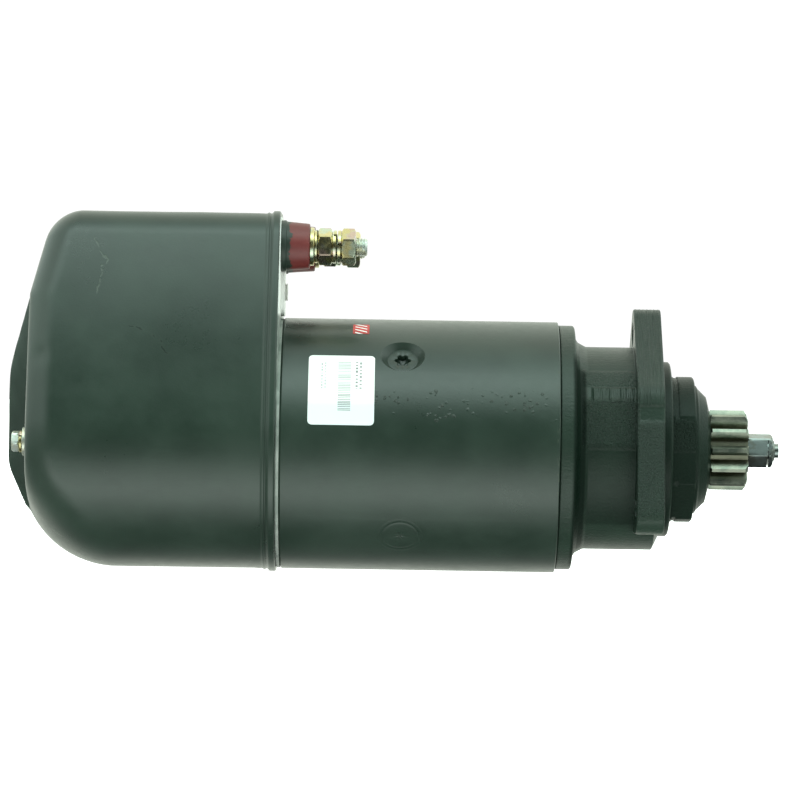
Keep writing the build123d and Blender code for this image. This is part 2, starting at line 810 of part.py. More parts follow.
def pinion():
    pitch_radius = gear_module * pinion_teeth / 2
    tip_radius = pitch_radius + gear_module
    root_radius = pitch_radius - 1.25 * gear_module
    base_radius = pitch_radius * math.cos(pressure_angle)
    half_pitch_angle = math.pi / (2 * pinion_teeth) + involute(pressure_angle)

    def flank(radius, side):
        pressure = math.acos(min(1.0, base_radius / radius))
        turn = side * (half_pitch_angle - involute(pressure))
        return (0, radius * math.sin(turn), radius * math.cos(turn))

    radii = [base_radius + (tip_radius - base_radius) * step / 4 for step in range(5)]
    right = Spline(*[flank(r, 1) for r in radii])
    left = Spline(*[flank(r, -1) for r in radii])
    foot_right = (0, flank(base_radius, 1)[1], root_radius - 1)
    foot_left = (0, flank(base_radius, -1)[1], root_radius - 1)
    outline = make_face([
        right, left, Line(right @ 1, left @ 1), Line(right @ 0, foot_right), Line(left @ 0, foot_left),
        Line(foot_right, foot_left),
    ])
    tooth = Pos(pinion_rear, 0, 0) * extrude(outline, pinion_front - pinion_rear, dir=(1, 0, 0))
    gear = rod(pinion_rear, pinion_front, root_radius)
    for index in range(pinion_teeth):
        gear = gear + at_angle(tooth, 360 * index / pinion_teeth)
    limit = turned(
        (pinion_rear, pinion_bore), (pinion_rear, tip_radius - 0.6), (pinion_rear + 0.6, tip_radius),
        (pinion_front - 1.6, tip_radius), (pinion_front, tip_radius - 2.2), (pinion_front, pinion_bore),
    )
    return gear & limit


def lock_nut():
    blank = hexagon(pinion_front, nut_front, nut_across_flats, turn=nut_turn)
    rounding = turned(
        (pinion_front, 0), (pinion_front, 8.4), (pinion_front + 0.7, 9.3), (nut_front - 1.2, 9.3),
        (nut_front, 7.6), (nut_front, 0),
    )
    collar = rod(nut_front, nut_front + 1.0, 5.5)
    nut = (blank & rounding) + collar - rod(pinion_front - over, nut_front + 2, rod_radius)
    return nut - block(nut_front - 3.1, nut_front - 2.4, -10, 10, -10, 0)


def engagement_rod():
    shaft = rod(rod_rear, nut_front + 1.0, rod_radius) + rod(nut_front + 1.0, rod_front, rod_radius - 0.25)
    return shaft - block(rod_front - 1.2, rod_front + over, -0.5, 0.5, -5, 5)


# ---------------------------------------------------------------- the whole starter
def paper_label():
    return arc_patch(-183.8, -149.5, tube_radius, tube_radius + 0.15, 9.1, 44.2)


def seal_label():
    return arc_patch(-161.2, -152.5, tube_radius, tube_radius + 0.15, 60.4, 71.0)


def main():
    os.makedirs("parts", exist_ok=True)

    save("drive_end_housing", drive_end_housing())
    save("nose_seal_cap", nose_seal_cap())
    save("shaft_seal", ring(seal_rear, seal_front, drive_bearing_radius, spindle_radius + 0.3))
    bearing_bore = spindle_radius + running_gap
    save("drive_end_bearing", ring(clutch_bay_front, drive_bearing_front, drive_bearing_radius, bearing_bore))
    save("intermediate_plate", intermediate_plate())
    bush_bore = shaft_radius + running_gap
    save("intermediate_bush", ring(intermediate_plate_rear, housing_rear, hub_radius, bush_bore))

    save("pole_tube", pole_tube())
    save("pole_shoes", *[at_angle(pole_shoe(), a) for a in pole_angles])
    save("pole_screws", *[at_angle(pole_screw(), a) for a in pole_angles])
    save("field_coils", *[at_angle(field_coil(), a) for a in pole_angles])
    save("field_connector", field_connector())
    save("through_bolts", *through_bolts())
    save("paper_label", paper_label())
    save("seal_label", seal_label())

    save("commutator_end_shield", commutator_end_shield())
    journal_bore = rear_journal_radius + running_gap
    save("commutator_end_bearing", ring(bridge_rear, bridge_front, rear_bush_radius, journal_bore))
    save("terminal_50", terminal_50())
    save("brush_plate", brush_plate())
    save("brush_holders", *[at_angle(brush_holder(), a) for a in brush_angles.values()])
    save("brush_springs", *[at_angle(brush_spring(), a) for a in brush_angles.values()])
    for name, angle in brush_angles.items():
        save(f"brush_{name}", at_angle(brush(), angle))

    save("terminal_insulators", *terminal_insulators())
    save("terminal_studs", *terminal_studs())
    save("terminal_flat_washers", *terminal_fasteners("washer"))
    save("terminal_spring_washers", *terminal_fasteners("spring"))
    save("terminal_nuts", *terminal_fasteners("nut"))

    save("closing_cap", closing_cap())
    save("cap_screws", *cap_screws())
    save("cap_spring_washers", *cap_washers("spring"))
    save("cap_flat_washers", *cap_washers("flat"))

    save("solenoid_case", solenoid_case())
    save("solenoid_core", solenoid_core())
    save("solenoid_screws", *solenoid_screws())
    save("solenoid_windings", *solenoid_windings())
    save("solenoid_end_plate", solenoid_end_plate())
    save("plunger", plunger())
    save("plunger_spring", plunger_spring())
    save("relay_case", relay_case())
    save("relay_winding", ring(-309.5, -266.5, 14.8, 10, 0, relay_z))
    save("relay_armature", relay_armature())
    save("relay_spring", relay_spring())
    save("contact_bridge", contact_bridge())
    save("contact_base", contact_base())
    save("trip_lever", trip_lever())
    save("trip_lever_pin", trip_lever_pin())

    save("armature_shaft", armature_shaft())
    save("armature_core", armature_core())
    save("armature_windings", armature_windings())
    save("commutator", commutator())
    save("clutch_basket", clutch_basket())
    save("clutch_outer_plates", *clutch_outer_plates())
    save("clutch_inner_plates", *clutch_inner_plates())
    save("clutch_hub", clutch_hub())
    save("drive_spindle", drive_spindle())
    save("pinion", pinion())
    save("lock_nut", lock_nut())
    save("engagement_rod", engagement_rod())


main()
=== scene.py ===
import json
import math

import bmesh
import bpy
import numpy as np
from mathutils import Matrix, Vector, noise


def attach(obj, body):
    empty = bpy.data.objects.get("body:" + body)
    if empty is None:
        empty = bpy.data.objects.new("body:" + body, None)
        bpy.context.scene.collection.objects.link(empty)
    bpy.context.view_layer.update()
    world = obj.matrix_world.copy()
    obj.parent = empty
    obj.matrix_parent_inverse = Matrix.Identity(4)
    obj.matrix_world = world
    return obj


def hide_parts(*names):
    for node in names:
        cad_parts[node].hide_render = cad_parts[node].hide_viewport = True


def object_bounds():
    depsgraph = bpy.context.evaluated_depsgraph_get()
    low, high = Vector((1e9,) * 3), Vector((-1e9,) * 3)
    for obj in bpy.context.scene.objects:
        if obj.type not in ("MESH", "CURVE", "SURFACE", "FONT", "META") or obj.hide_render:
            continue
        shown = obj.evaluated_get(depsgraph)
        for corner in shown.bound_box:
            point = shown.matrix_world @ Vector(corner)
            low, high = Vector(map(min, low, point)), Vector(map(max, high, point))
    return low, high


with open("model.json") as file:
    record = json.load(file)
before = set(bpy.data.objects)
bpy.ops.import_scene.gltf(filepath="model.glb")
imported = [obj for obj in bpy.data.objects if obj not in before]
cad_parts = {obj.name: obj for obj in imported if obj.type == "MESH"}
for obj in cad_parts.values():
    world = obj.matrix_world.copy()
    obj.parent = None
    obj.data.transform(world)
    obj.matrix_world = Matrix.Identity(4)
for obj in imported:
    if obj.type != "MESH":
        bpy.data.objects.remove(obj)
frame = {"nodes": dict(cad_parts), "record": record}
cad_low, cad_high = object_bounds()

MM = 0.001
TUBE_RADIUS = 66.0
TURN = 2 * math.pi


# ---------------------------------------------------------------- mesh building
def make_piece(name, points, faces, material, body, slot_name, sharp_angle=35.0, replaces=()):
    """A mesh piece from points in millimetres, with outward normals, riding on a body."""
    mesh = bpy.data.meshes.new(name)
    mesh.from_pydata([tuple(p) for p in np.asarray(points, float) * MM], [], faces)
    return finish_piece(name, mesh, material, body, sharp_angle, replaces)


def stator_piece(name, parts, material, slot_name, sharp_angle, node_name):
    """Several closed parts as one piece on the stator, in place of one CAD node."""
    points, faces = join_parts(parts)
    return make_piece(name, points, faces, material, "stator", slot_name, sharp_angle, (node_name,))


def finish_piece(name, mesh, material, body, sharp_angle, replaces):
    """Welds and smooths the mesh, then rides it on its body."""
    work = bmesh.new()
    work.from_mesh(mesh)
    bmesh.ops.remove_doubles(work, verts=work.verts, dist=1e-6)
    bmesh.ops.dissolve_degenerate(work, dist=1e-7, edges=work.edges)
    bmesh.ops.recalc_face_normals(work, faces=work.faces)
    work.to_mesh(mesh)
    work.free()
    mesh.shade_smooth()
    mesh.set_sharp_from_angle(angle=math.radians(sharp_angle))
    piece = bpy.data.objects.new(name, mesh)
    bpy.context.scene.collection.objects.link(piece)
    mesh.materials.append(material)
    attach(piece, body)
    if replaces:
        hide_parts(*replaces)
    return piece


def loft(rings, ends="loop"):
    """Points and faces that join closed rings in turn; ends is loop, caps or open."""
    rings = np.asarray(rings, float)
    count, around = rings.shape[0], rings.shape[1]
    faces = []
    last = count if ends == "loop" else count - 1
    for i in range(last):
        a, b = i * around, ((i + 1) % count) * around
        for j in range(around):
            k = (j + 1) % around
            faces.append((a + j, a + k, b + k, b + j))
    points = rings.reshape(-1, 3)
    if ends == "caps":
        middles = np.array([rings[0].mean(0), rings[-1].mean(0)])
        for end, base in ((0, 0), (1, (count - 1) * around)):
            centre = len(points) + end
            for j in range(around):
                faces.append((base + j, base + (j + 1) % around, centre))
        points = np.vstack([points, middles])
    return points, faces


def join_parts(parts):
    """One list of points and faces from several."""
    points, faces, start = [], [], 0
    for part_points, part_faces in parts:
        points.append(np.asarray(part_points, float))
        faces += [tuple(v + start for v in f) for f in part_faces]
        start += len(part_points)
    return np.vstack(points), faces


def circle_ring(x, radius, around, y=0.0, z=0.0):
    """A ring in the YZ plane; radius is one number or one for each point."""
    angle = np.arange(around) * TURN / around
    radius = np.broadcast_to(np.asarray(radius, float), (around,))
    return np.stack([np.full(around, float(x)), y + radius * np.cos(angle), z + radius * np.sin(angle)], 1)


def hexagon_radius(across_flats, around, turn=0.0):
    angle = np.arange(around) * TURN / around - math.radians(turn)
    sector = np.mod(angle, TURN / 6) - TURN / 12
    return across_flats / 2 / np.cos(sector)


# ---------------------------------------------------------------- terminal and fastener shapes
def threaded_rod(x0, x1, radius, pitch, depth, y, z, thread_from):
    """A stud with a real helical thread from thread_from to its chamfered tip x1, closed at both ends."""
    around, per_pitch = 48, 8
    angle = np.arange(around) / around
    xs = [x0, x0 + 0.01, thread_from - 0.3]
    steps = int((x1 - thread_from) / pitch * per_pitch)
    xs += [thread_from + (x1 - thread_from) * k / steps for k in range(steps + 1)]
    rings = []
    for x in xs:
        phase = np.mod((x - thread_from) / pitch - angle, 1.0)
        tooth = np.clip(2.3 * (0.5 - np.abs(phase - 0.5)) - 0.1, 0, 1)
        fade = min(1.0, max(0.0, (x - thread_from) / pitch))
        r = radius - depth * fade * (1 - tooth)
        r = np.minimum(r, radius - 1.15 + max(0.0, (x1 - x)) * 1.3)
        rings.append(circle_ring(x, r, around, y, z))
    return loft(rings, "caps")


def hex_nut(x0, x1, across_flats, bore, y, z, turn, chamfer=0.62):
    """A hexagon nut with the rounded corners that a chamfer leaves on both faces."""
    around = 96
    flats = hexagon_radius(across_flats, around, turn)
    start = across_flats / 2 * 0.97
    slope = 1 / math.tan(math.radians(32))
    stations = [(x0, 0.0), (x0 + 0.25, 0.25), (x0 + 0.55, 0.55), (x0 + 0.95, 0.95), (x0 + 1.6, 9.0)]
    stations += [(x1 - (x - x0), d) for x, d in reversed(stations)]
    rings = [circle_ring(x0 + 0.9, bore - 0.4, around, y, z), circle_ring(x0, bore + 0.45, around, y, z)]
    for x, d in stations:
        rings.append(circle_ring(x, np.minimum(flats, start + d * slope * chamfer / 0.62), around, y, z))
    rings.append(circle_ring(x1, bore + 0.45, around, y, z))
    rings.append(circle_ring(x1 - 0.9, bore - 0.4, around, y, z))
    return loft(rings, "loop")


def flat_washer(x0, x1, outer, bore, y, z):
    edge = 0.28
    profile = [(x0, bore), (x0, outer - edge), (x0 + edge, outer), (x1 - edge, outer), (x1, outer - edge),
               (x1, bore)]
    return loft([circle_ring(x, r, 72, y, z) for x, r in profile], "loop")


def spring_washer(x0, x1, outer, bore, y, z, split_at, rise):
    """A split washer: its two ends stand apart at the gap, and its section is a rounded square."""
    gap = math.radians(9)
    steps = 64
    rings = []
    thick = x1 - x0 - rise
    edge = 0.25
    section = [(0, edge), (edge, 0), (thick - edge, 0), (thick, edge)]
    for k in range(steps + 1):
        share = k / steps
        turn = math.radians(split_at) + gap / 2 + (TURN - gap) * share
        shift = x0 + rise * share
        ring = [(shift + a, bore + b) for a, b in section]
        ring += [(shift + a, outer - b) for a, b in reversed(section)]
        rings.append([(x, y + r * math.cos(turn), z + r * math.sin(turn)) for x, r in ring])
    return loft(rings, "caps")


def turned_body(profile, around, y=0.0, z=0.0, ends="loop"):
    return loft([circle_ring(x, r, around, y, z) for x, r in profile], ends)


# ---------------------------------------------------------------- shader building
def new_material(name):
    material = bpy.data.materials.new(name)
    material.use_nodes = True
    tree = material.node_tree
    shader = tree.nodes["Principled BSDF"]
    return material, tree, shader


def node(tree, kind, values=None, **settings):
    made = tree.nodes.new(kind)
    for key, value in settings.items():
        setattr(made, key, value)
    for key, value in (values or {}).items():
        if isinstance(value, bpy.types.NodeSocket):
            tree.links.new(value, made.inputs[key])
        else:
            made.inputs[key].default_value = value
    return made


def object_point(tree):
    return node(tree, "ShaderNodeTexCoord").outputs["Object"]


def split(tree, vector):
    """The three components of a vector."""
    return node(tree, "ShaderNodeSeparateXYZ", {0: vector}).outputs


def noise_of(tree, point, scale, detail=3.0, roughness=0.55, stretch=None):
    if stretch is not None:
        point = node(tree, "ShaderNodeMapping", {0: point, 3: stretch}).outputs[0]
    return node(tree, "ShaderNodeTexNoise", {"Vector": point, "Scale": scale, "Detail": detail,
                                             "Roughness": roughness}).outputs["Fac"]


def span(tree, value, low, high, to_low=0.0, to_high=1.0, smooth=True):
    """value mapped from low-high onto to_low-to_high, held at the ends."""
    made = node(tree, "ShaderNodeMapRange", {0: value, 1: low, 2: high, 3: to_low, 4: to_high})
    made.interpolation_type = "SMOOTHSTEP" if smooth else "LINEAR"
    made.clamp = True
    return made.outputs[0]


def sums(tree, kind, first, second=0.5, third=0.5):
    return node(tree, "ShaderNodeMath", {0: first, 1: second, 2: third}, operation=kind).outputs[0]


def times(tree, *values):
    """The product of several node outputs or numbers."""
    product = values[0]
    for value in values[1:]:
        product = sums(tree, "MULTIPLY", product, value)
    return product


def most(tree, *values):
    """The largest of several node outputs or numbers."""
    largest = values[0]
    for value in values[1:]:
        largest = sums(tree, "MAXIMUM", largest, value)
    return largest


def chosen_cells(tree, cells, low, high):
    """1 in a random few of a Voronoi texture's cells."""
    red = node(tree, "ShaderNodeSeparateColor", {0: cells.outputs["Color"]}).outputs[0]
    return span(tree, red, low, high)


def blend_colour(tree, share, first, second):
    made = node(tree, "ShaderNodeMix", {0: share, 6: first, 7: second}, data_type="RGBA")
    return made.outputs[2]


def bump_chain(tree, layers):
    """Bump layers on top of each other; each is (height, strength, distance in metres)."""
    normal = None
    for height, strength, distance in layers:
        values = {"Height": height, "Strength": strength, "Distance": distance}
        if normal is not None:
            values["Normal"] = normal
        normal = node(tree, "ShaderNodeBump", values).outputs[0]
    return normal


def shade(tree, shader, **sockets):
    names = {"colour": "Base Color", "roughness": "Roughness", "metallic": "Metallic", "normal": "Normal",
             "specular": "Specular IOR Level", "coat": "Coat Weight", "coat_roughness": "Coat Roughness",
             "subsurface": "Subsurface Weight", "sheen": "Sheen Weight"}
    for key, value in sockets.items():
        socket = shader.inputs[names[key]]
        if isinstance(value, bpy.types.NodeSocket):
            tree.links.new(value, socket)
        else:
            socket.default_value = value


# ---------------------------------------------------------------- materials
PAINT_DARK = (0.0105, 0.0215, 0.0145, 1)
PAINT_LIGHT = (0.0165, 0.0310, 0.0215, 1)
CAST_DARK = (0.0075, 0.0185, 0.0115, 1)
CAST_LIGHT = (0.0125, 0.0275, 0.0175, 1)
DUST = (0.075, 0.085, 0.065, 1)


def paint_material(name, tones=(PAINT_DARK, PAINT_LIGHT), rough=0.36, grain=0.35, spots=0.35,
                   extra=None, shine=0.55):
    """Dark green-black machine enamel: orange peel, dull patches, dust and small bare nicks.

    extra(tree, point) may return (bump layers, colour share, colour) for marks of one part's own, or for painted
    shade; under that share the specular also drops, which dims the highlights there."""
    material, tree, shader = new_material(name)
    point = object_point(tree)
    cloud = noise_of(tree, point, 22.0, 4.0)
    fine = noise_of(tree, point, 260.0, 4.0)
    colour = blend_colour(tree, span(tree, cloud, 0.35, 0.68), *tones)
    specks = node(tree, "ShaderNodeTexVoronoi", {"Vector": point, "Scale": 230.0}, feature="F1")
    nick = span(tree, specks.outputs["Distance"], 0.10, 0.04)
    chosen = chosen_cells(tree, specks, 0.93, 0.95)
    nick = times(tree, nick, chosen, spots)
    colour = blend_colour(tree, nick, colour, DUST)
    layers = [(noise_of(tree, point, 900.0, 2.0), grain, 0.00012)]
    specular = shine
    if extra is not None:
        marks, share, mark_or_shade_colour = extra(tree, point)
        layers = marks + layers
        colour = blend_colour(tree, share, colour, mark_or_shade_colour)
        # Under the extra share the highlights are dimmed; on the cast housing this is part of the painted shade.
        specular = span(tree, share, 0.0, 1.0, shine, shine * 0.12, smooth=False)
    roughness = span(tree, sums(tree, "ADD", times(tree, cloud, 0.6), times(tree, fine, 0.4)),
                     0.3, 0.7, rough - 0.05, rough + 0.08, smooth=False)
    shade(tree, shader, colour=colour, roughness=roughness, specular=specular,
          normal=bump_chain(tree, layers))
    return material


def band(tree, value, low, high, soft):
    """1 between low and high, falling to 0 over soft outside them."""
    rise = span(tree, value, low - soft, low)
    fall = span(tree, value, high + soft, high)
    return times(tree, rise, fall)


def height_angle(tree, point):
    """Degrees above the -Y side round the motor axis, and the distance along X."""
    parts = split(tree, point)
    back = times(tree, parts[1], -1.0)
    turn = sums(tree, "ARCTAN2", parts[2], back)
    return times(tree, turn, 180 / math.pi), parts[0]


def tube_marks(tree, point):
    """Blistered paint in a ragged strip along the tube, and a few chips down its front end."""
    angle, along = height_angle(tree, point)
    drift = times(tree, sums(tree, "SUBTRACT", noise_of(tree, point, 35.0, 2.0), 0.5), 22.0)
    ragged = sums(tree, "ADD", angle, drift)
    strip = times(tree, band(tree, ragged, 16.0, 24.0, 5.0), band(tree, along, -0.150, -0.056, 0.010))
    crowd = span(tree, noise_of(tree, point, 90.0, 2.0), 0.42, 0.58)
    wobble = node(tree, "ShaderNodeTexNoise", {"Vector": point, "Scale": 700.0,
                                               "Detail": 2.0}).outputs["Color"]
    shaken = node(tree, "ShaderNodeVectorMath", {0: wobble, 1: (0.0016, 0.0016, 0.0016), 2: point},
                  operation="MULTIPLY_ADD").outputs[0]
    pimples = node(tree, "ShaderNodeTexVoronoi", {"Vector": shaken, "Scale": 420.0}, feature="F1")
    raised = span(tree, pimples.outputs["Distance"], 0.42, 0.12)
    picked = chosen_cells(tree, pimples, 0.50, 0.62)
    blister = times(tree, raised, picked, times(tree, crowd, strip))
    edge = times(tree, band(tree, along, -0.0554, -0.0540, 0.0003), band(tree, angle, -25.0, 60.0, 10.0))
    chips = times(tree, span(tree, noise_of(tree, point, 260.0, 3.0), 0.58, 0.64), edge)
    return [(blister, 0.9, 0.0005)], times(tree, chips, 0.5), DUST


def scratch(tree, point, path, width):
    """1 along a run of short straight scratches given as (X, Z) points, on the side that faces -Y."""
    flat = node(tree, "ShaderNodeVectorMath", {0: point, 1: (1, 0, 1)}, operation="MULTIPLY").outputs[0]
    total = None
    for (x0, z0), (x1, z1) in zip(path, path[1:]):
        way = (x1 - x0, 0.0, z1 - z0)
        size = way[0] ** 2 + way[2] ** 2
        reach = node(tree, "ShaderNodeVectorMath", {0: flat, 1: (x0, 0.0, z0)},
                     operation="SUBTRACT").outputs[0]
        along = node(tree, "ShaderNodeVectorMath", {0: reach, 1: way},
                     operation="DOT_PRODUCT").outputs["Value"]
        share = span(tree, along, 0.0, size, smooth=False)
        foot = node(tree, "ShaderNodeVectorMath", {0: way, "Scale": share}, operation="SCALE").outputs[0]
        gap = node(tree, "ShaderNodeVectorMath", {0: reach, 1: foot}, operation="DISTANCE").outputs["Value"]
        line = span(tree, gap, width, width * 0.3)
        total = line if total is None else most(tree, total, line)
    return total


LIGHT_SCRATCH = ((-0.2975, 0.1060), (-0.2895, 0.0940), (-0.2920, 0.0865), (-0.2940, 0.0765))
DARK_SCRATCH = ((-0.2765, 0.0605), (-0.2665, 0.0565), (-0.2615, 0.0520), (-0.2560, 0.0460))


def cap_marks(tree, point):
    """One pale scratch near the cap's top corner and one dark scuff below it."""
    cloud = node(tree, "ShaderNodeTexNoise", {"Vector": point, "Scale": 160.0, "Detail": 3.0})
    wobble = node(tree, "ShaderNodeVectorMath", {0: cloud.outputs["Color"], 1: (0.5, 0.5, 0.5)},
                  operation="SUBTRACT").outputs[0]
    moved = node(tree, "ShaderNodeVectorMath", {0: wobble, 1: (0.007, 0, 0.007), 2: point},
                 operation="MULTIPLY_ADD").outputs[0]
    broken = span(tree, noise_of(tree, point, 300.0, 3.0), 0.40, 0.52)
    pale = times(tree, scratch(tree, moved, LIGHT_SCRATCH, 0.0006), broken)
    dark = times(tree, scratch(tree, moved, DARK_SCRATCH, 0.0008), broken)
    front = span(tree, split(tree, point)[1], -0.01, -0.02)
    pale = times(tree, pale, front)
    dark = times(tree, dark, front)
    both = most(tree, pale, dark)
    tone = blend_colour(tree, dark, (0.11, 0.13, 0.11, 1), (0.004, 0.006, 0.005, 1))
    return [(times(tree, pale, -1.0), 0.35, 0.0002)], times(tree, both, 0.45), tone


def cast_grain_and_painted_shade(tree, point):
    """Sand grain on the rough stretches of the casting, painted shade in the recess behind the rim, under the neck
    and on the collar, and a darker machined nose.
    """
    angle, along = height_angle(tree, point)
    neck = band(tree, along, -0.041, -0.0145, 0.002)
    neck = times(tree, neck, band(tree, angle, 4.0, 26.0, 5.0))
    upper = times(tree, band(tree, along, -0.041, -0.0145, 0.002), band(tree, angle, 39.0, 47.0, 3.0))
    slab = times(tree, band(tree, along, -0.0142, -0.0005, 0.0004), band(tree, angle, -26.0, 12.0, 4.0))
    nose = times(tree, band(tree, along, 0.0055, 0.018, 0.0004), band(tree, angle, 2.0, 22.0, 5.0))
    share = most(tree, neck, times(tree, upper, 0.5),
                 most(tree, times(tree, slab, 0.8), times(tree, nose, 0.6)))
    share = span(tree, share, 0.0, 1.0, 0.10, 1.0, smooth=False)
    grooves = noise_of(tree, point, 520.0, 2.0, 0.5, (1.6, 0.10, 0.10))
    slab_top = times(tree, band(tree, along, -0.0142, -0.0005, 0.0004),
                     band(tree, angle, 24.0, 100.0, 3.0))
    neck_strip = times(tree, band(tree, along, -0.036, -0.0145, 0.002),
                       band(tree, angle, 28.0, 36.0, 1.5))
    filed = most(tree, slab_top, neck_strip)
    sand = noise_of(tree, point, 820.0, 3.0, 0.65)
    # The machined nose is made darker from here forward.
    dark_nose = times(tree, span(tree, along, 0.0045, 0.0056), 0.68)
    # Painted shade: the recess behind the rim, the collar in front of the flange and the underside of the neck are
    # darkened as if in shade.
    recess = times(tree, band(tree, along, -0.0462, -0.0412, 0.0018), band(tree, angle, -70.0, 44.0, 8.0))
    collar = times(tree, band(tree, along, 0.0004, 0.0050, 0.0004), 0.60)
    under = times(tree, band(tree, along, -0.0400, -0.0145, 0.001), band(tree, angle, -46.0, 1.0, 3.0))
    painted_shade_and_dark_nose = most(tree, times(tree, recess, 0.90), times(tree, under, 0.45))
    painted_shade_and_dark_nose = most(tree, painted_shade_and_dark_nose, collar, dark_nose)
    # The dark colour below is the painted shade, also laid on the darker nose.
    return ([(times(tree, sand, share), 1.0, 0.0022), (times(tree, grooves, filed), 1.0, 0.0016)],
            painted_shade_and_dark_nose, (0.0035, 0.0085, 0.0055, 1))


def metal_material(name, dark, light, rough=(0.28, 0.42), stain=None, stain_share=0.5):
    """Bare metal: patchy tone, fine scratches, and an optional stain colour."""
    material, tree, shader = new_material(name)
    point = object_point(tree)
    cloud = noise_of(tree, point, 60.0, 5.0, 0.6)
    colour = blend_colour(tree, span(tree, cloud, 0.35, 0.65), dark, light)
    if stain is not None:
        patch = span(tree, noise_of(tree, point, 138.0, 4.0, 0.65), 0.48, 0.60, 0.0, stain_share)
        colour = blend_colour(tree, patch, colour, stain)
    lines = noise_of(tree, point, 900.0, 2.0, 0.5, (0.3, 2.5, 2.5))
    grain = noise_of(tree, point, 1500.0, 2.0)
    roughness = span(tree, cloud, 0.3, 0.7, rough[0], rough[1], smooth=False)
    layers = [(lines, 0.25, 0.00008), (grain, 0.12, 0.00005)]
    shade(tree, shader, colour=colour, roughness=roughness, metallic=1.0, normal=bump_chain(tree, layers))
    return material


def aluminium_material():
    """Cast aluminium: a darker grey-green beside the tube, and a pale painted highlight on the plate above it."""
    material, tree, shader = new_material("cast_aluminium")
    point = object_point(tree)
    height = split(tree, point)[2]
    cloud = noise_of(tree, point, 80.0, 5.0, 0.6)
    fine = noise_of(tree, point, 700.0, 3.0, 0.6)
    dull = blend_colour(tree, span(tree, cloud, 0.35, 0.65), (0.17, 0.20, 0.175, 1), (0.30, 0.33, 0.295, 1))
    painted_highlight_tone = blend_colour(tree, span(tree, cloud, 0.35, 0.65), (0.80, 0.81, 0.77, 1), (0.92, 0.92, 0.88, 1))
    # Above the tube's top the plate takes the pale tone as a painted highlight.
    colour = blend_colour(tree, span(tree, height, 0.0655, 0.0685), dull, painted_highlight_tone)
    shade(tree, shader, colour=colour, metallic=0.25, normal=bump_chain(tree, [(fine, 0.3, 0.0002)]),
          roughness=span(tree, cloud, 0.3, 0.7, 0.42, 0.58, smooth=False))
    return material


def clear_zinc_material():
    """Bright zinc with a faint straw tint in patches."""
    material, tree, shader = new_material("clear_zinc")
    point = object_point(tree)
    broad = noise_of(tree, point, 160.0, 3.0)
    fine = noise_of(tree, point, 600.0, 4.0, 0.6)
    colour = blend_colour(tree, span(tree, broad, 0.40, 0.60), (0.60, 0.65, 0.60, 1), (0.66, 0.64, 0.50, 1))
    grime = span(tree, fine, 0.58, 0.72, 0.0, 0.4)
    colour = blend_colour(tree, grime, colour, (0.14, 0.13, 0.09, 1))
    shade(tree, shader, colour=colour, metallic=0.85, normal=bump_chain(tree, [(fine, 0.15, 0.0001)]),
          roughness=span(tree, fine, 0.3, 0.7, 0.30, 0.46, smooth=False))
    return material


def zinc_material():
    """Yellow-passivated zinc: silver-green and gold, with a faint pink cast in patches."""
    material, tree, shader = new_material("yellow_zinc")
    point = object_point(tree)
    broad = noise_of(tree, point, 95.0, 3.0)
    fine = noise_of(tree, point, 420.0, 4.0, 0.6)
    colour = blend_colour(tree, span(tree, broad, 0.42, 0.56), (0.50, 0.56, 0.43, 1), (0.60, 0.52, 0.26, 1))
    pink = span(tree, noise_of(tree, point, 130.0, 2.0), 0.53, 0.64, 0.0, 0.7)
    colour = blend_colour(tree, pink, colour, (0.56, 0.40, 0.40, 1))
    grime = span(tree, fine, 0.58, 0.74, 0.0, 0.3)
    colour = blend_colour(tree, grime, colour, (0.16, 0.14, 0.08, 1))
    lines = noise_of(tree, point, 900.0, 2.0, 0.5, (0.4, 2.0, 2.0))
    layers = [(lines, 0.2, 0.00006), (fine, 0.1, 0.0001)]
    shade(tree, shader, colour=colour, metallic=1.0, normal=bump_chain(tree, layers),
          roughness=span(tree, fine, 0.3, 0.7, 0.17, 0.33, smooth=False))
    return material


def gear_material():
    """Hardened gear steel: bright grey-green on the teeth, browned by oil down in the gaps."""
    material, tree, shader = new_material("gear_steel")
    point = object_point(tree)
    parts = split(tree, point)
    radius = sums(tree, "SQRT", sums(tree, "ADD", times(tree, parts[1], parts[1]),
                                     times(tree, parts[2], parts[2])))
    cloud = noise_of(tree, point, 110.0, 4.0, 0.6)
    ragged = sums(tree, "ADD", radius, times(tree, sums(tree, "SUBTRACT", cloud, 0.5), 0.004))
    patches = span(tree, cloud, 0.35, 0.65)
    bright = blend_colour(tree, patches, (0.17, 0.20, 0.165, 1), (0.34, 0.36, 0.29, 1))
    depth = span(tree, ragged, 0.0185, 0.0150, 0.0, 0.8)
    colour = blend_colour(tree, depth, bright, (0.17, 0.165, 0.115, 1))
    lines = noise_of(tree, point, 700.0, 2.0, 0.5, (0.15, 3.0, 3.0))
    layers = [(lines, 0.35, 0.0001), (cloud, 0.1, 0.0003)]
    shade(tree, shader, colour=colour, metallic=1.0, normal=bump_chain(tree, layers),
          roughness=span(tree, cloud, 0.3, 0.7, 0.34, 0.50, smooth=False))
    return material


def insulator_material():
    """Dark red moulded plastic with black paint sprayed over its rear half, ending in a ragged edge."""
    material, tree, shader = new_material("insulator_plastic")
    point = object_point(tree)
    parts = split(tree, point)
    ragged = noise_of(tree, point, 170.0, 4.0, 0.6)
    edge = sums(tree, "ADD", parts[0], times(tree, sums(tree, "SUBTRACT", ragged, 0.5), 0.0075))
    black = span(tree, edge, -0.1945, -0.1950)
    cloud = noise_of(tree, point, 120.0, 3.0)
    red = blend_colour(tree, cloud, (0.085, 0.012, 0.012, 1), (0.15, 0.024, 0.020, 1))
    colour = blend_colour(tree, black, red, PAINT_DARK)
    grain = noise_of(tree, point, 700.0, 3.0)
    shade(tree, shader, colour=colour, roughness=span(tree, cloud, 0.2, 0.8, 0.38, 0.5, smooth=False),
          normal=bump_chain(tree, [(grain, 0.2, 0.0002)]))
    return material


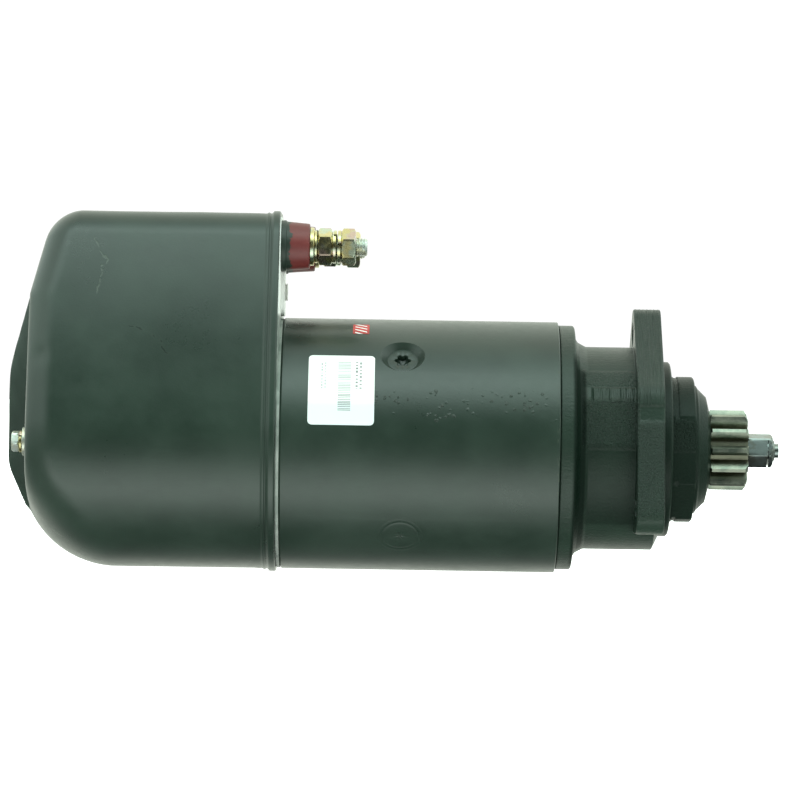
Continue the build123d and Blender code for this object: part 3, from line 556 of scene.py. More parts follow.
def rubber_material():
    material, tree, shader = new_material("seal_rubber")
    point = object_point(tree)
    cloud = noise_of(tree, point, 70.0, 4.0)
    patches = span(tree, cloud, 0.3, 0.7)
    colour = blend_colour(tree, patches, (0.012, 0.013, 0.012, 1), (0.028, 0.030, 0.027, 1))
    grain = noise_of(tree, point, 800.0, 4.0)
    shade(tree, shader, colour=colour, roughness=span(tree, cloud, 0.3, 0.7, 0.5, 0.62, smooth=False),
          normal=bump_chain(tree, [(grain, 0.3, 0.0002)]))
    return material


def label_material(name, paper, ink, draw):
    """Printed paper: fibres, slight yellowing, and the printed marks that draw gives."""
    material, tree, shader = new_material(name)
    point = object_point(tree)
    fibres = noise_of(tree, point, 900.0, 4.0, 0.7)
    aged = tuple(0.93 * c for c in paper[:3]) + (1,)
    tone = blend_colour(tree, noise_of(tree, point, 50.0, 2.0), paper_tone(tree, paper),
                        paper_tone(tree, aged))
    colour = blend_colour(tree, draw(tree), tone, ink)
    shade(tree, shader, colour=colour, roughness=span(tree, fibres, 0.3, 0.7, 0.42, 0.55, smooth=False),
          normal=bump_chain(tree, [(fibres, 0.1, 0.0001)]))
    return material


def label_place(tree):
    """The label's own coordinates: 0-1 across and 0-1 up."""
    across = node(tree, "ShaderNodeUVMap", uv_map="flat").outputs[0]
    parts = split(tree, across)
    return parts[0], parts[1]


def barcode_marks(tree):
    """Plain bars of uneven width and columns of short dashes; they encode nothing and spell nothing."""
    across, up = label_place(tree)
    total = None
    for left, right, low, high, count, seed, faint, strong in LABEL_MARKS:
        place = times(tree, sums(tree, "ADD", up, seed), count)
        cell = sums(tree, "FLOOR", place)
        chance = node(tree, "ShaderNodeTexWhiteNoise", {"W": cell}, noise_dimensions="1D").outputs[0]
        width = sums(tree, "MULTIPLY_ADD", chance, 0.42, 0.30)
        bars = sums(tree, "LESS_THAN", sums(tree, "FRACT", place), width)
        inside = times(tree, band(tree, across, left, right, 0.004), band(tree, up, low, high, 0.004))
        depth = span(tree, up, 0.45, 0.40, faint, strong)
        block = times(tree, bars, inside, depth)
        total = block if total is None else most(tree, total, block)
    return total


# Each column on the label: left, right, low, high, marks per height, seed, ink above, ink below the middle.
LABEL_MARKS = (
    (0.45, 0.64, 0.19, 0.90, 42.0, 3.1, 0.52, 0.82),
    (0.715, 0.745, 0.485, 0.895, 19.0, 8.7, 0.80, 0.80),
    (0.775, 0.805, 0.485, 0.895, 19.0, 2.2, 0.72, 0.72),
    (0.195, 0.215, 0.485, 0.88, 22.0, 5.3, 0.60, 0.60),
    (0.245, 0.265, 0.485, 0.88, 22.0, 6.6, 0.50, 0.50),
    (0.395, 0.43, 0.33, 0.74, 30.0, 4.4, 0.20, 0.20),
)


def paper_tone(tree, paper):
    """The lower third of the label is a little greyer, where the light falls off."""
    _, up = label_place(tree)
    greyer = tuple(c * t for c, t in zip(paper, (0.78, 0.86, 0.88, 1)))
    return blend_colour(tree, span(tree, up, 0.38, 0.24), paper, greyer)


def seal_marks(tree):
    """Plain white slanting stripes across the small seal."""
    across, up = label_place(tree)
    wave = sums(tree, "FRACT", times(tree, sums(tree, "ADD", up, times(tree, across, 0.35)), 3.3))
    stripe = band(tree, wave, 0.40, 0.66, 0.06)
    return times(tree, stripe, band(tree, across, 0.16, 0.84, 0.04))


def plain_material(name, dark, light, rough, scale=120.0, metallic=0.0, grain=0.2):
    material, tree, shader = new_material(name)
    point = object_point(tree)
    cloud = noise_of(tree, point, scale, 4.0)
    colour = blend_colour(tree, span(tree, cloud, 0.3, 0.7), dark, light)
    fine = noise_of(tree, point, scale * 8, 3.0)
    shade(tree, shader, colour=colour, metallic=metallic, normal=bump_chain(tree, [(fine, grain, 0.0002)]),
          roughness=span(tree, cloud, 0.3, 0.7, rough - 0.06, rough + 0.06, smooth=False))
    return material


def make_materials():
    """Every material by the name its pieces and the record's slots use."""
    return {
        "cap_paint": paint_material("cap_enamel", rough=0.30, grain=0.22, spots=0.12, extra=cap_marks),
        "tube_paint": paint_material("tube_enamel", rough=0.31, grain=0.26, spots=0.25, extra=tube_marks),
        "cast_paint": paint_material("cast_enamel", (CAST_DARK, CAST_LIGHT), rough=0.37, grain=0.28,
                                     extra=cast_grain_and_painted_shade, shine=0.38),
        "aluminium": aluminium_material(),
        "steel": metal_material("ground_steel", (0.15, 0.18, 0.18, 1), (0.27, 0.31, 0.30, 1), (0.24, 0.36),
                                stain=(0.16, 0.13, 0.07, 1), stain_share=0.3),
        "laminations": plain_material("laminated_iron", (0.10, 0.10, 0.10, 1), (0.2, 0.2, 0.2, 1), 0.45,
                                      metallic=0.8),
        "spring_steel": metal_material("spring_steel", (0.16, 0.16, 0.15, 1), (0.30, 0.30, 0.28, 1),
                                       (0.3, 0.42)),
        "yellow_zinc": zinc_material(),
        "clear_zinc": clear_zinc_material(),
        "copper": metal_material("copper", (0.55, 0.25, 0.14, 1), (0.72, 0.38, 0.24, 1), (0.28, 0.4)),
        "bronze": metal_material("bronze", (0.45, 0.30, 0.14, 1), (0.60, 0.42, 0.22, 1), (0.3, 0.4)),
        "insulator": insulator_material(),
        "boss": plain_material("pale_plastic", (0.62, 0.63, 0.58, 1), (0.78, 0.78, 0.73, 1), 0.45),
        "insulation": plain_material("coil_lacquer", (0.10, 0.035, 0.02, 1), (0.18, 0.07, 0.04, 1), 0.4),
        "seal_rubber": rubber_material(),
        "brush_carbon": plain_material("brush_carbon", (0.03, 0.03, 0.03, 1), (0.07, 0.065, 0.06, 1), 0.6),
        "paper": label_material("label_paper", (0.80, 0.81, 0.785, 1), (0.05, 0.06, 0.06, 1),
                                barcode_marks),
        "red_paper": label_material("seal_paper", (0.52, 0.035, 0.03, 1), (0.80, 0.78, 0.76, 1),
                                    seal_marks),
    }


# ---------------------------------------------------------------- the closing cap
# Millimetres: radii and heights in the YZ plane, X places, and the rear's slopes as rise over run.
CAP = {
    "radius": 66.3, "lobe_top": 120.3, "side_arc": 400.0, "side_low": 10.0, "side_high": 24.5,
    "front": -200.4, "floor": -330.0, "ridge": -341.6, "wall": 1.6, "slant_z": 76.0,
    "slope": math.tan(math.radians(13.5)), "ridge_top": 36.9, "ridge_slope": 0.265,
}


def egg_outline(steps_low=70, steps_side=40, steps_corner=26, steps_top=8):
    """The cap's outline in the YZ plane with its outward normals, from the bottom up the +Y side."""
    low, high = math.radians(CAP["side_low"]), math.radians(CAP["side_high"])
    shift = CAP["radius"] - CAP["side_arc"]
    side_y, side_z = shift * math.cos(low), shift * math.sin(low)
    arc_top = side_z + CAP["side_arc"] * math.sin(high)
    corner_r = (CAP["lobe_top"] - arc_top) / (1 - math.sin(high))
    corner_y = side_y + (CAP["side_arc"] - corner_r) * math.cos(high)
    corner_z = arc_top - corner_r * math.sin(high)
    half, normals = [], []
    stretches = ((0, 0, CAP["radius"], -math.pi / 2, low, steps_low),
                 (side_y, side_z, CAP["side_arc"], low, high, steps_side),
                 (corner_y, corner_z, corner_r, high, math.pi / 2, steps_corner))
    for y, z, radius, start, end, steps in stretches:
        for k in range(steps):
            a = start + (end - start) * k / steps
            half.append((y + radius * math.cos(a), z + radius * math.sin(a)))
            normals.append((math.cos(a), math.sin(a)))
    for k in range(steps_top + 1):
        half.append((corner_y * (1 - k / steps_top), CAP["lobe_top"]))
        normals.append((0.0, 1.0))
    half, normals = np.array(half), np.array(normals)
    mirror = np.array([-1, 1])
    points = np.vstack([half, half[-2:0:-1] * mirror])
    directions = np.vstack([normals, normals[-2:0:-1] * mirror])
    return points, directions


def smooth_max(a, b, soft):
    h = np.clip(0.5 + 0.5 * (a - b) / soft, 0, 1)
    return b + (a - b) * h + soft * h * (1 - h)


def smooth_min(a, b, soft):
    return -smooth_max(-a, -b, soft)


def smoothstep(value, low, high):
    t = np.clip((value - low) / (high - low), 0, 1)
    return t * t * (3 - 2 * t)


def cap_rear_face(y, z, inset, low_share):
    """X of the cap's rear face at a point that lies inset mm inside the outline."""
    floor = CAP["floor"] + np.maximum(0, z - CAP["slant_z"]) * CAP["slope"]
    radius = 16.0 + 34.0 * low_share
    plane = floor - 5.0 * low_share
    d = np.clip(inset, 0, radius)
    rounding = plane + radius - np.sqrt(np.maximum(radius ** 2 - (radius - d) ** 2, 0))
    body = smooth_max(floor, rounding, 0.8)
    crown = CAP["ridge"] + 0.2
    upper = crown + (z - CAP["ridge_top"]) * CAP["ridge_slope"]
    lower = crown + (-13.5 - z) * 0.456 + np.maximum(0, -35.5 - z) * 1.5
    ridge = smooth_max(smooth_max(upper, lower, 1.5), np.full_like(z, crown), 2.5)
    ridge = ridge + 42.0 * smoothstep(np.abs(y), 15.0, 26.0) + np.maximum(0, z - 74.0) * 0.16
    ridge = ridge + np.maximum(0, z - 92.0) * 0.8
    return smooth_min(body, ridge, 2.0)


def low_weight(z):
    """How far round the heel an outline point is: 0 at the sides, 1 at the bottom."""
    return smoothstep(-z / CAP["radius"], 0.05, 0.98)


def closing_cap(material):
    """The deep-drawn cap: egg-shaped side, rolled lip, bead, and a rounded rear with its ridge."""
    outline, outward = egg_outline()
    count = len(outline)
    share = low_weight(outline[:, 1])
    radius = 16.0 + 34.0 * share
    spine = np.stack([np.zeros(count), np.clip(outline[:, 1], -6.0, 72.0)], 1)
    reach = np.linalg.norm(outline - spine, axis=1)
    rings = []
    lip = [(CAP["front"], 0.7), (CAP["front"] - 0.35, 1.15), (CAP["front"] - 0.9, 1.3), (-203.4, 1.3),
           (-204.0, 1.1), (-204.5, 0.5), (-205.0, 0.05), (-205.5, 0.0), (-206.0, 0.35), (-206.5, 0.5), (-207.0, 0.35),
           (-207.5, 0.0), (-208.2, -0.08), (-209.5, 0.0), (-212.0, 0.0)]
    for x, margin in lip:
        side = outline + outward * margin
        rings.append(np.column_stack([np.full(count, x), side]))
    start = cap_rear_face(outline[:, 0], outline[:, 1], np.zeros(count), share)
    for k in range(1, 25):
        t = k / 25
        rings.append(np.column_stack([-212.0 + (start + 212.0) * t, outline]))
    dense, _ = egg_outline(280, 160, 80, 30)
    steps = 64
    for k in range(steps + 1):
        t = k / steps
        if t < 0.45:
            inward = radius * (1 - math.cos(t / 0.45 * math.pi / 2))
        else:
            inward = radius + (reach - radius) * (t - 0.45) / 0.55
        inward = np.where(reach < radius, reach * (1 - math.cos(t * math.pi / 2)), inward)
        along = inward / reach
        flat = outline * (1 - along[:, None]) + spine * along[:, None]
        gap = np.array([np.sqrt(((dense - p) ** 2).sum(1)).min() for p in flat])
        x = cap_rear_face(flat[:, 0], flat[:, 1], gap if k else np.zeros(count), share)
        rings.append(np.column_stack([x, flat]))
    outer = np.array(rings)
    outer = settle(outer)
    normal = ring_normals(outer)
    inner = outer - normal * CAP["wall"]
    inner[:, :, 0] = np.maximum(inner[:, :, 0], CAP["ridge"] + CAP["wall"])
    inner[0] = np.column_stack([np.full(count, CAP["front"]), outline - outward * CAP["wall"]])
    for k in range(1, len(lip)):
        inner[k] = np.column_stack([np.full(count, lip[k][0]), outline - outward * CAP["wall"]])
    points, faces = loft(np.concatenate([inner[::-1], outer]), "open")
    return make_piece("cap_shell", points, faces, material, "stator", "cap_paint", 40, ("closing_cap",))


def settle(rings):
    """Small dents and the faint waviness of a pressed sheet."""
    flat = rings.reshape(-1, 3)
    moved = flat.copy()
    for i, p in enumerate(flat):
        if p[0] > -210:
            continue
        wave = noise.noise(Vector(p) * 0.022) * 0.22
        wave += noise.noise(Vector(p) * 0.06 + Vector((7, 3, 1))) * 0.07
        radial = Vector((0, p[1], p[2] - 20)).normalized()
        moved[i, 1] += radial[1] * wave
        moved[i, 2] += radial[2] * wave
        for centre, size, depth in CAP_DENTS:
            gap = np.linalg.norm(p - centre)
            if gap < size:
                moved[i] += np.array(DENT_WAY) * depth * (1 - gap / size) ** 2
    return moved.reshape(rings.shape)


CAP_DENTS = ((np.array([-322.0, -56.0, 44.0]), 9.0, 0.9), (np.array([-303.0, -64.0, 30.0]), 7.0, 0.35))
DENT_WAY = (0.6, 0.8, 0.0)


def ring_normals(rings):
    """Outward unit normals of a grid of closed rings."""
    around = np.roll(rings, -1, 1) - np.roll(rings, 1, 1)
    along = np.empty_like(rings)
    along[1:-1] = rings[2:] - rings[:-2]
    along[0], along[-1] = rings[1] - rings[0], rings[-1] - rings[-2]
    normal = np.cross(around, along)
    length = np.linalg.norm(normal, axis=2, keepdims=True)
    normal = np.where(length > 1e-9, normal / np.maximum(length, 1e-9), np.array([-1.0, 0, 0]))
    middle = rings.reshape(-1, 3).mean(0)
    if ((rings[8] - middle) * normal[8]).sum() < 0:
        normal = -normal
    return normal


# ---------------------------------------------------------------- the cast drive end
def remeshed_copy(node_name, depth, fill):
    """A CAD node's mesh as an even grid of small quads that keeps its edges."""
    source = frame["nodes"][node_name]
    work = bpy.data.objects.new("work", source.data.copy())
    bpy.context.scene.collection.objects.link(work)
    remesh = work.modifiers.new("even", "REMESH")
    remesh.mode = "SHARP"
    remesh.octree_depth = depth
    remesh.scale = fill
    remesh.sharpness = 1.0
    remesh.use_remove_disconnected = False
    soften = work.modifiers.new("soften", "SMOOTH")
    soften.factor = 0.35
    soften.iterations = 2
    graph = bpy.context.evaluated_depsgraph_get()
    mesh = bpy.data.meshes.new_from_object(work.evaluated_get(graph))
    bpy.data.objects.remove(work)
    return mesh


def shift_points(mesh, change):
    """Moves each point along its normal by change(points, normals) in millimetres."""
    count = len(mesh.vertices)
    points = np.empty(count * 3, np.float32)
    mesh.vertices.foreach_get("co", points)
    normals = np.empty(count * 3, np.float32)
    mesh.vertex_normals.foreach_get("vector", normals)
    points, normals = points.reshape(-1, 3).astype(float), normals.reshape(-1, 3).astype(float)
    amount = change(points / MM, normals)
    points += normals * (amount * MM)[:, None]
    mesh.vertices.foreach_set("co", points.astype(np.float32).ravel())
    mesh.update()


def grain_at(points, size, seed=0.0):
    offset = Vector((seed, seed * 1.7, seed * 0.6))
    return np.array([noise.noise(Vector(p) / size + offset) for p in points])


def cast_surface(points, normals):
    """Sand-cast grain on the rough faces and filed lines on the flange's upper edge."""
    x = points[:, 0]
    radius = np.hypot(points[:, 1], points[:, 2])
    angle = np.degrees(np.arctan2(points[:, 2], -points[:, 1]))
    neck = (x > -40) & (x < -16) & (radius > 52) & (radius < 55)
    edge = (x > -13.4) & (x < -0.9) & (radius > 55) & (np.abs(normals[:, 0]) < 0.3)
    rough = np.where(neck, smoothstep(angle, 2, 9) * (1 - smoothstep(angle, 26, 31)), 0.0)
    rough = np.maximum(rough, np.where(edge, 0.7 * (1 - smoothstep(angle, 8, 16)), 0.0))
    lift = grain_at(points, 1.3) * 0.16 * rough
    lift = lift + np.where(edge & (angle > 24), filed_lines(x, 1.9, 0.13), 0.0)
    strip = smoothstep(angle, 27, 29) * (1 - smoothstep(angle, 35, 37))
    lift = lift + np.where(neck & (x > -36), filed_lines(x, 2.6, 0.22) * strip, 0.0)
    return lift


def filed_lines(x, pitch, depth):
    """Uneven grooves across X."""
    return depth * (np.sin(x * TURN / pitch) * 0.6 + np.sin(x * TURN / (pitch * 0.63) + 1.3) * 0.4)


def drive_end(material):
    """The cast housing: the CAD shape with its grain and file marks."""
    mesh = remeshed_copy("drive_end_housing", 8, 0.97)
    shift_points(mesh, cast_surface)
    mesh.materials.clear()
    return finish_piece("drive_end_casting", mesh, material, "stator", 50,
                        ("drive_end_housing",))


# ---------------------------------------------------------------- terminals
TERMINAL_STACK = (("washer", 2.2, 10.0), ("spring", 2.0, 8.65), ("nut", 7.5, 0), ("spring", 2.4, 8.65),
                  ("spring", 2.4, 8.65), ("nut", 7.5, 0))


def terminal_parts(materials):
    """Both main terminals: stud, collar, washers and two nuts each."""
    zinc = materials["yellow_zinc"]
    studs, nuts, flats, springs, insulators = [], [], [], [], []
    for index, (y, shift) in enumerate(((-19.5, 0.0), (19.5, 2.0))):
        z = 103.2
        tail = -239.9 if index == 0 else -212.0
        studs.append(threaded_rod(tail, (-154.9, -156.4)[index], 5.0, 1.5, 0.85, y, z, -183.0 + shift))
        insulators.append(turned_body([
            (-199.9, 5.2), (-199.9, 13.2), (-199.6, 13.5), (-197.6, 13.5), (-197.1, 13.25), (-196.9, 12.85),
            (-192.0, 12.45), (-185.4 + shift, 11.85), (-184.95 + shift, 11.4), (-184.9 + shift, 5.2),
        ], 96, y, z))
        x = -184.9 + shift
        turn = (29.0, 12.0)[index]
        for kind, thickness, radius in TERMINAL_STACK:
            if kind == "washer":
                flats.append(flat_washer(x, x + thickness, radius, 5.3, y, z))
            elif kind == "spring":
                split_at = 100 + 37 * len(springs)
                springs.append(spring_washer(x + 0.05, x + thickness - 0.05, radius, 5.4, y, z, split_at, 0.5))
            else:
                nuts.append(hex_nut(x, x + thickness, 17.0, 4.6, y, z, turn))
                turn += 9.0
            x += thickness
    stator_piece("terminal_threads", studs, materials["clear_zinc"], "yellow_zinc", 50, "terminal_studs")
    stator_piece("terminal_hex_nuts", nuts, zinc, "yellow_zinc", 30, "terminal_nuts")
    stator_piece("terminal_plain_washers", flats, zinc, "yellow_zinc", 30, "terminal_flat_washers")
    stator_piece("terminal_split_washers", springs, zinc, "yellow_zinc", 40, "terminal_spring_washers")
    stator_piece("terminal_collars", insulators, materials["insulator"], "insulator", 30,
                 "terminal_insulators")


# ---------------------------------------------------------------- cap screws
def cap_screw_parts(materials):
    """The two screws that hold the cap, with their washers."""
    zinc = materials["clear_zinc"]
    heads, flats, springs = [], [], []
    for index, y in enumerate((-36.0, 36.0)):
        z = -1.0
        around = 96
        flats_radius = hexagon_radius(10.0, around, 12 + 31 * index)
        rings = [circle_ring(-320.0, 2.4, around, y, z), circle_ring(-333.7, 2.7, around, y, z)]
        for x, cut in ((-333.7, 4.75), (-334.1, 5.2), (-334.5, 9.0), (-336.6, 9.0), (-337.0, 5.35),
                       (-337.4, 4.9), (-337.65, 4.6)):
            rings.append(circle_ring(x, np.minimum(flats_radius, cut), around, y, z))
        rings.append(circle_ring(-337.65, 3.0, around, y, z))
        rings.append(circle_ring(-337.4, 2.7, around, y, z))
        heads.append(loft(rings, "caps"))
        flats.append(flat_washer(-332.0, -330.0, 7.5, 3.2, y, z))
        springs.append(spring_washer(-333.68, -332.02, 5.8, 3.2, y, z, 150, 0.25))
    stator_piece("cap_hex_screws", heads, zinc, "yellow_zinc", 30, "cap_screws")
    stator_piece("cap_plain_washers", flats, zinc, "yellow_zinc", 30, "cap_flat_washers")
    stator_piece("cap_split_washers", springs, materials["yellow_zinc"], "yellow_zinc", 30,
                 "cap_spring_washers")


# ---------------------------------------------------------------- labels
def label_patch(name, x0, x1, low, high, corner, material, replaces, lift=0.03):
    """A thin label that follows the tube, with rounded corners and slightly lifted edges."""
    across, up = 44, 60
    radius = TUBE_RADIUS
    width = x1 - x0
    height = math.radians(high - low) * (radius + 0.15)
    points, places, faces = [], [], []
    for layer in (0, 1):
        for j in range(up + 1):
            for i in range(across + 1):
                u, v = i / across * 2 - 1, j / up * 2 - 1
                a, b = u * width / 2, v * height / 2
                over_a, over_b = abs(a) - (width / 2 - corner), abs(b) - (height / 2 - corner)
                if over_a > 0 and over_b > 0:
                    reach = math.hypot(over_a, over_b)
                    larger = max(over_a, over_b)
                    a = math.copysign(width / 2 - corner + over_a * larger / reach, a)
                    b = math.copysign(height / 2 - corner + over_b * larger / reach, b)
                edge = max(abs(u), abs(v))
                raised = lift * max(0.0, edge - 0.93) / 0.07 if layer else 0
                r = radius + (0.01 if layer == 0 else 0.12) + raised
                turn = math.radians((low + high) / 2) + b / (radius + 0.15)
                points.append(((x0 + x1) / 2 + a, -r * math.cos(turn), r * math.sin(turn)))
                places.append((a / width + 0.5, b / height + 0.5))
    row, size = across + 1, (across + 1) * (up + 1)
    for layer in (0, 1):
        for j in range(up):
            for i in range(across):
                p = layer * size + j * row + i
                faces.append((p, p + 1, p + row + 1, p + row))
    border = [i for i in range(across)] + [across + j * row for j in range(up)]
    border += [up * row + i for i in range(across, 0, -1)] + [j * row for j in range(up, 0, -1)]
    for k, p in enumerate(border):
        q = border[(k + 1) % len(border)]
        faces.append((p, q, q + size, p + size))
    mesh = bpy.data.meshes.new(name)
    mesh.from_pydata([tuple(c * MM for c in p) for p in points], [], faces)
    uv = mesh.uv_layers.new(name="flat")
    for loop in mesh.loops:
        uv.data[loop.index].uv = places[loop.vertex_index]
    return finish_piece(name, mesh, material, "stator", 40, replaces)


# ---------------------------------------------------------------- pole screws
SCREW = {"x": -135.5, "seat": 62.5, "head": 7.95, "sink": 11.5, "recess": 3.4}


def pole_screw_parts(material):
    """Four countersunk heads with six-lobe recesses; the lower front one is filled over with paint."""
    parts = []
    around = 96
    turn = np.arange(around) * TURN / around
    lobes = 3.55 + 0.62 * np.cos(6 * turn)
    for angle in (45, 135, 225, 315):
        if angle == 225:
            rings = painted_over_rings(around)
        else:
            seat, head, floor = SCREW["seat"], SCREW["head"], SCREW["seat"] - SCREW["recess"]
            rings = [(44.0, 4.98), (59.4, 4.98), (seat - 0.35, head), (seat - 0.1, head - 0.1),
                     (seat, head - 0.4), (seat, lobes + 0.5), (seat - 0.25, lobes + 0.12),
                     (seat - 0.6, lobes), (floor, lobes * 0.94), (floor - 0.9, 0.8)]
            rings = [np.column_stack([SCREW["x"] + np.cos(turn) * r, np.sin(turn) * r, np.full(around, h)])
                     for h, r in rings]
        points, faces = loft(rings, "caps")
        lean = math.radians(angle - 90)
        y = points[:, 1] * math.cos(lean) - points[:, 2] * math.sin(lean)
        z = points[:, 1] * math.sin(lean) + points[:, 2] * math.cos(lean)
        parts.append((np.column_stack([points[:, 0], y, z]), faces))
    stator_piece("pole_screw_heads", parts, material, "tube_paint", 40, "pole_screws")


def painted_over_rings(around):
    """A screw whose seat is filled level with the tube, leaving only a faint ring and a soft hollow."""
    turn = np.arange(around) * TURN / around
    rings = [np.column_stack([SCREW["x"] + np.cos(turn) * 4.98, np.sin(turn) * 4.98, np.full(around, h)])
             for h in (44.0, 59.4)]
    for r in [SCREW["sink"] + 0.3 - 0.3 * k for k in range(39)]:
        across = np.sin(turn) * r
        level = np.sqrt(TUBE_RADIUS ** 2 - across ** 2)
        film = 0.06 * smoothstep(np.array(SCREW["sink"] + 0.3 - r), 0.0, 0.6)
        ring_dip = 0.16 * math.exp(-((r - 9.6) / 0.55) ** 2)
        middle_dip = 0.30 * math.exp(-(r / 3.2) ** 2)
        lobes = middle_dip * (1 + 0.35 * np.cos(6 * turn))
        height = level + film - ring_dip - lobes
        rings.append(np.column_stack([SCREW["x"] + np.cos(turn) * r, across, height]))
    return rings


def plug_boss(materials):
    """The pale boss round terminal 50, with its dark ring slot and pin behind."""
    z = 79.5
    profile = [(-216.0, 3.1), (-198.05, 3.1), (-198.0, 4.2), (-197.75, 4.6), (-197.5, 4.6), (-197.45, 4.0),
               (-197.15, 4.0), (-197.1, 4.6), (-196.75, 4.6), (-196.6, 4.4), (-196.6, 1.6), (-199.0, 1.4)]
    body = turned_body(profile, 64, 0.0, z, "caps")
    make_piece("plug_pin_boss", *body, materials["boss"], "stator", "insulator", 30, ("terminal_50",))


# ---------------------------------------------------------------- drive parts
def lock_nut(material):
    """The slit lock nut in front of the pinion, with its small collar."""
    around = 96
    flats = hexagon_radius(16.0, around, 16.0)
    low_half = np.sin(np.arange(around) * TURN / around) < 0
    rings = [circle_ring(46.5, 4.05, around), circle_ring(46.5, 8.1, around)]
    for x, cut in ((46.5, 8.1), (46.8, 8.6), (47.3, 9.3), (56.9, 9.3), (57.28, 9.3)):
        rings.append(circle_ring(x, np.minimum(flats, cut), around))
    turn = np.arange(around) * TURN / around
    lift = np.degrees(np.arctan2(np.sin(turn), -np.cos(turn)))
    slit = np.where(low_half, 4.6, np.where((lift > 8) & (lift < 40), 6.8, np.minimum(flats, 9.3)))
    for x in (57.32, 57.98):
        rings.append(circle_ring(x, slit, around))
    for x, cut in ((58.02, 9.3), (59.0, 9.3), (59.7, 8.6), (60.2, 7.9), (60.4, 7.4)):
        rings.append(circle_ring(x, np.minimum(flats, cut), around))
    for x, r in ((60.4, 5.6), (60.9, 5.5), (61.3, 5.2), (61.4, 4.9), (61.4, 4.05)):
        rings.append(circle_ring(x, r, around))
    points, faces = loft(rings, "loop")
    return make_piece("slit_lock_nut", points, faces, material, "drive", "steel", 30, ("lock_nut",))


# ---------------------------------------------------------------- studio
# Brightness of the studio by angle in the YZ plane: 0 is level towards the camera, 90 overhead, 180 behind.
STUDIO_BANDS = (
    (-180, 1.5, "back"), (-150, 1.1, "back"), (-125, 0.30, "low"), (-105, 0.04, "low"), (-82, 0.08, "low"),
    (-66, 1.0, "low"), (-46, 2.7, "low"), (-28, 1.7, "low"), (-12, 0.25, "low"), (4, 0.04, "high"),
    (20, 0.05, "high"), (32, 0.35, "high"), (44, 2.2, "high"), (58, 4.4, "high"), (70, 3.0, "high"),
    (84, 1.5, "high"), (105, 1.3, "back"), (130, 1.5, "back"), (155, 1.4, "back"), (180, 1.5, "back"),
)
STUDIO_TINTS = {"back": (0.93, 1.0, 0.88), "low": (0.90, 1.0, 0.94), "high": (0.80, 1.0, 0.94)}


def studio_world():
    """Soft light all round, brightest above the front, with a darker gap level with the camera."""
    world = bpy.data.worlds.new("studio")
    bpy.context.scene.world = world
    world.use_nodes = True
    tree = world.node_tree
    tree.nodes.clear()
    way = node(tree, "ShaderNodeTexCoord").outputs["Generated"]
    parts = split(tree, way)
    turn = sums(tree, "ARCTAN2", parts[2], times(tree, parts[1], -1.0))
    ramp = node(tree, "ShaderNodeValToRGB", {0: span(tree, turn, -math.pi, math.pi, smooth=False)})
    ramp.color_ramp.interpolation = "EASE"
    stops = ramp.color_ramp.elements
    while len(stops) < len(STUDIO_BANDS):
        stops.new(0.5)
    top = max(level for _, level, _ in STUDIO_BANDS)
    for stop, (angle, level, part) in zip(stops, STUDIO_BANDS):
        stop.position = angle / 360 + 0.5
        stop.color = [c * level / top for c in STUDIO_TINTS[part]] + [1]
    side = span(tree, sums(tree, "ABSOLUTE", parts[0]), 0.30, 0.75)
    high = [1.7 * c / top for c in (0.86, 1.0, 0.94)] + [1]
    low = [0.30 * c / top for c in (0.86, 1.0, 0.90)] + [1]
    ends = blend_colour(tree, span(tree, parts[2], -0.10, 0.40), low, high)
    toned = blend_colour(tree, side, ramp.outputs[0], ends)
    lit = node(tree, "ShaderNodeBackground", {0: toned, 1: top})
    seen = node(tree, "ShaderNodeBackground", {0: (1, 1, 1, 1), 1: 1.05})
    camera_ray = node(tree, "ShaderNodeLightPath").outputs["Is Camera Ray"]
    both = node(tree, "ShaderNodeMixShader", {0: camera_ray, 1: lit.outputs[0], 2: seen.outputs[0]})
    node(tree, "ShaderNodeOutputWorld", {0: both.outputs[0]})


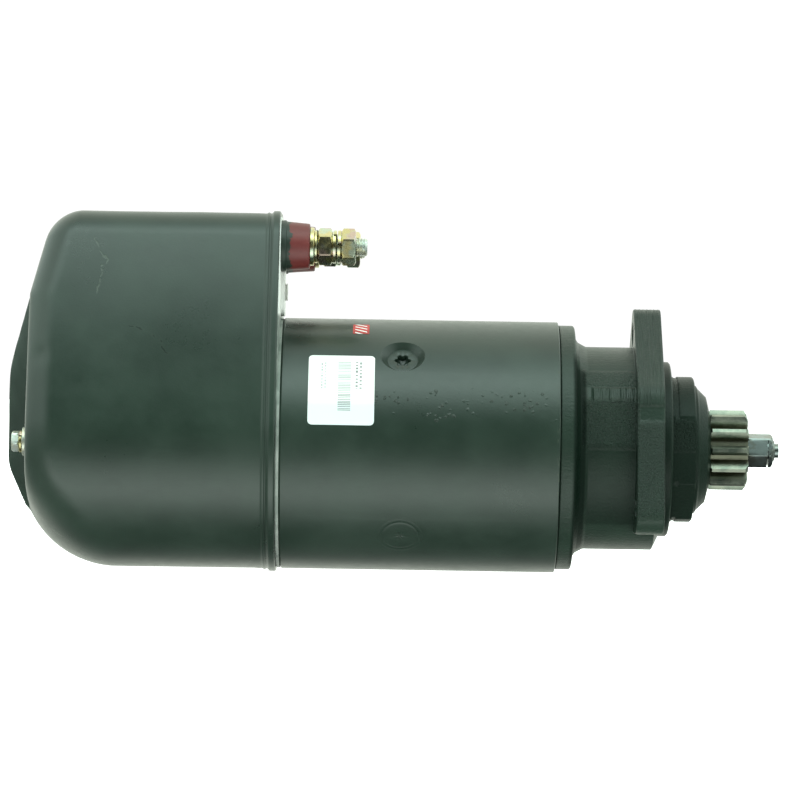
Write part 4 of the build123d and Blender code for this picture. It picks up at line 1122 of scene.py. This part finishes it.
def studio_floor():
    """A pale, softly glowing floor under the object, far larger than the view."""
    material, tree, shader = new_material("pale_floor")
    point = object_point(tree)
    cloud = noise_of(tree, point, 3.0, 2.0)
    pale = blend_colour(tree, cloud, (0.86, 0.86, 0.86, 1), (0.90, 0.90, 0.895, 1))
    shade(tree, shader, colour=pale, roughness=0.9, specular=0.1)
    shader.inputs["Emission Color"].default_value = (1, 1, 1, 1)
    shader.inputs["Emission Strength"].default_value = 1.0
    mesh = bpy.data.meshes.new("floor")
    reach, level = 30.0, cad_low.z - 0.0004
    corners = [(-reach, -reach, level), (reach, -reach, level), (reach, reach, level), (-reach, reach, level)]
    mesh.from_pydata(corners, [], [(0, 1, 2, 3)])
    mesh.materials.append(material)
    floor = bpy.data.objects.new("floor", mesh)
    bpy.context.scene.collection.objects.link(floor)
    floor.visible_glossy = False


def photo_camera():
    """The camera looks along +Y from about two metres, level with the object and slightly tilted."""
    data = bpy.data.cameras.new("camera")
    data.sensor_width = 36.0
    distance, view_width, roll = 2.15, 0.4155, 0.0165
    data.lens = data.sensor_width * distance / view_width
    camera = bpy.data.objects.new("camera", data)
    camera.location = (-0.140, -distance, 0.027)
    level = Matrix.Rotation(math.pi / 2, 4, "X")
    camera.rotation_euler = (level @ Matrix.Rotation(roll, 4, "Z")).to_euler()
    data.clip_start, data.clip_end = 0.05, 100.0
    bpy.context.scene.collection.objects.link(camera)
    bpy.context.scene.camera = camera


def paint_cad_nodes(materials):
    """Every CAD node that still shows takes the procedural material of its slot in the record."""
    gear = gear_material()
    slots = {entry["node"]: entry["material_slot"] for entry in frame["record"]["subparts"]}
    for obj in frame["nodes"].values():
        if obj.hide_render:
            continue
        obj.data.materials.clear()
        obj.data.materials.append(gear if obj.name == "pinion" else materials[slots[obj.name]])


def main():
    bpy.context.scene.view_settings.view_transform = "Standard"
    materials = make_materials()
    closing_cap(materials["cap_paint"])
    drive_end(materials["cast_paint"])
    terminal_parts(materials)
    cap_screw_parts(materials)
    pole_screw_parts(materials["tube_paint"])
    plug_boss(materials)
    lock_nut(materials["steel"])
    label_patch("paper_sticker", -183.9, -149.8, 9.1, 44.2, 2.2, materials["paper"],
                ("paper_label",))
    label_patch("seal_sticker", -161.6, -153.1, 61.0, 71.4, 0.5, materials["red_paper"],
                ("seal_label",))
    paint_cad_nodes(materials)
    studio_world()
    studio_floor()
    photo_camera()


main()
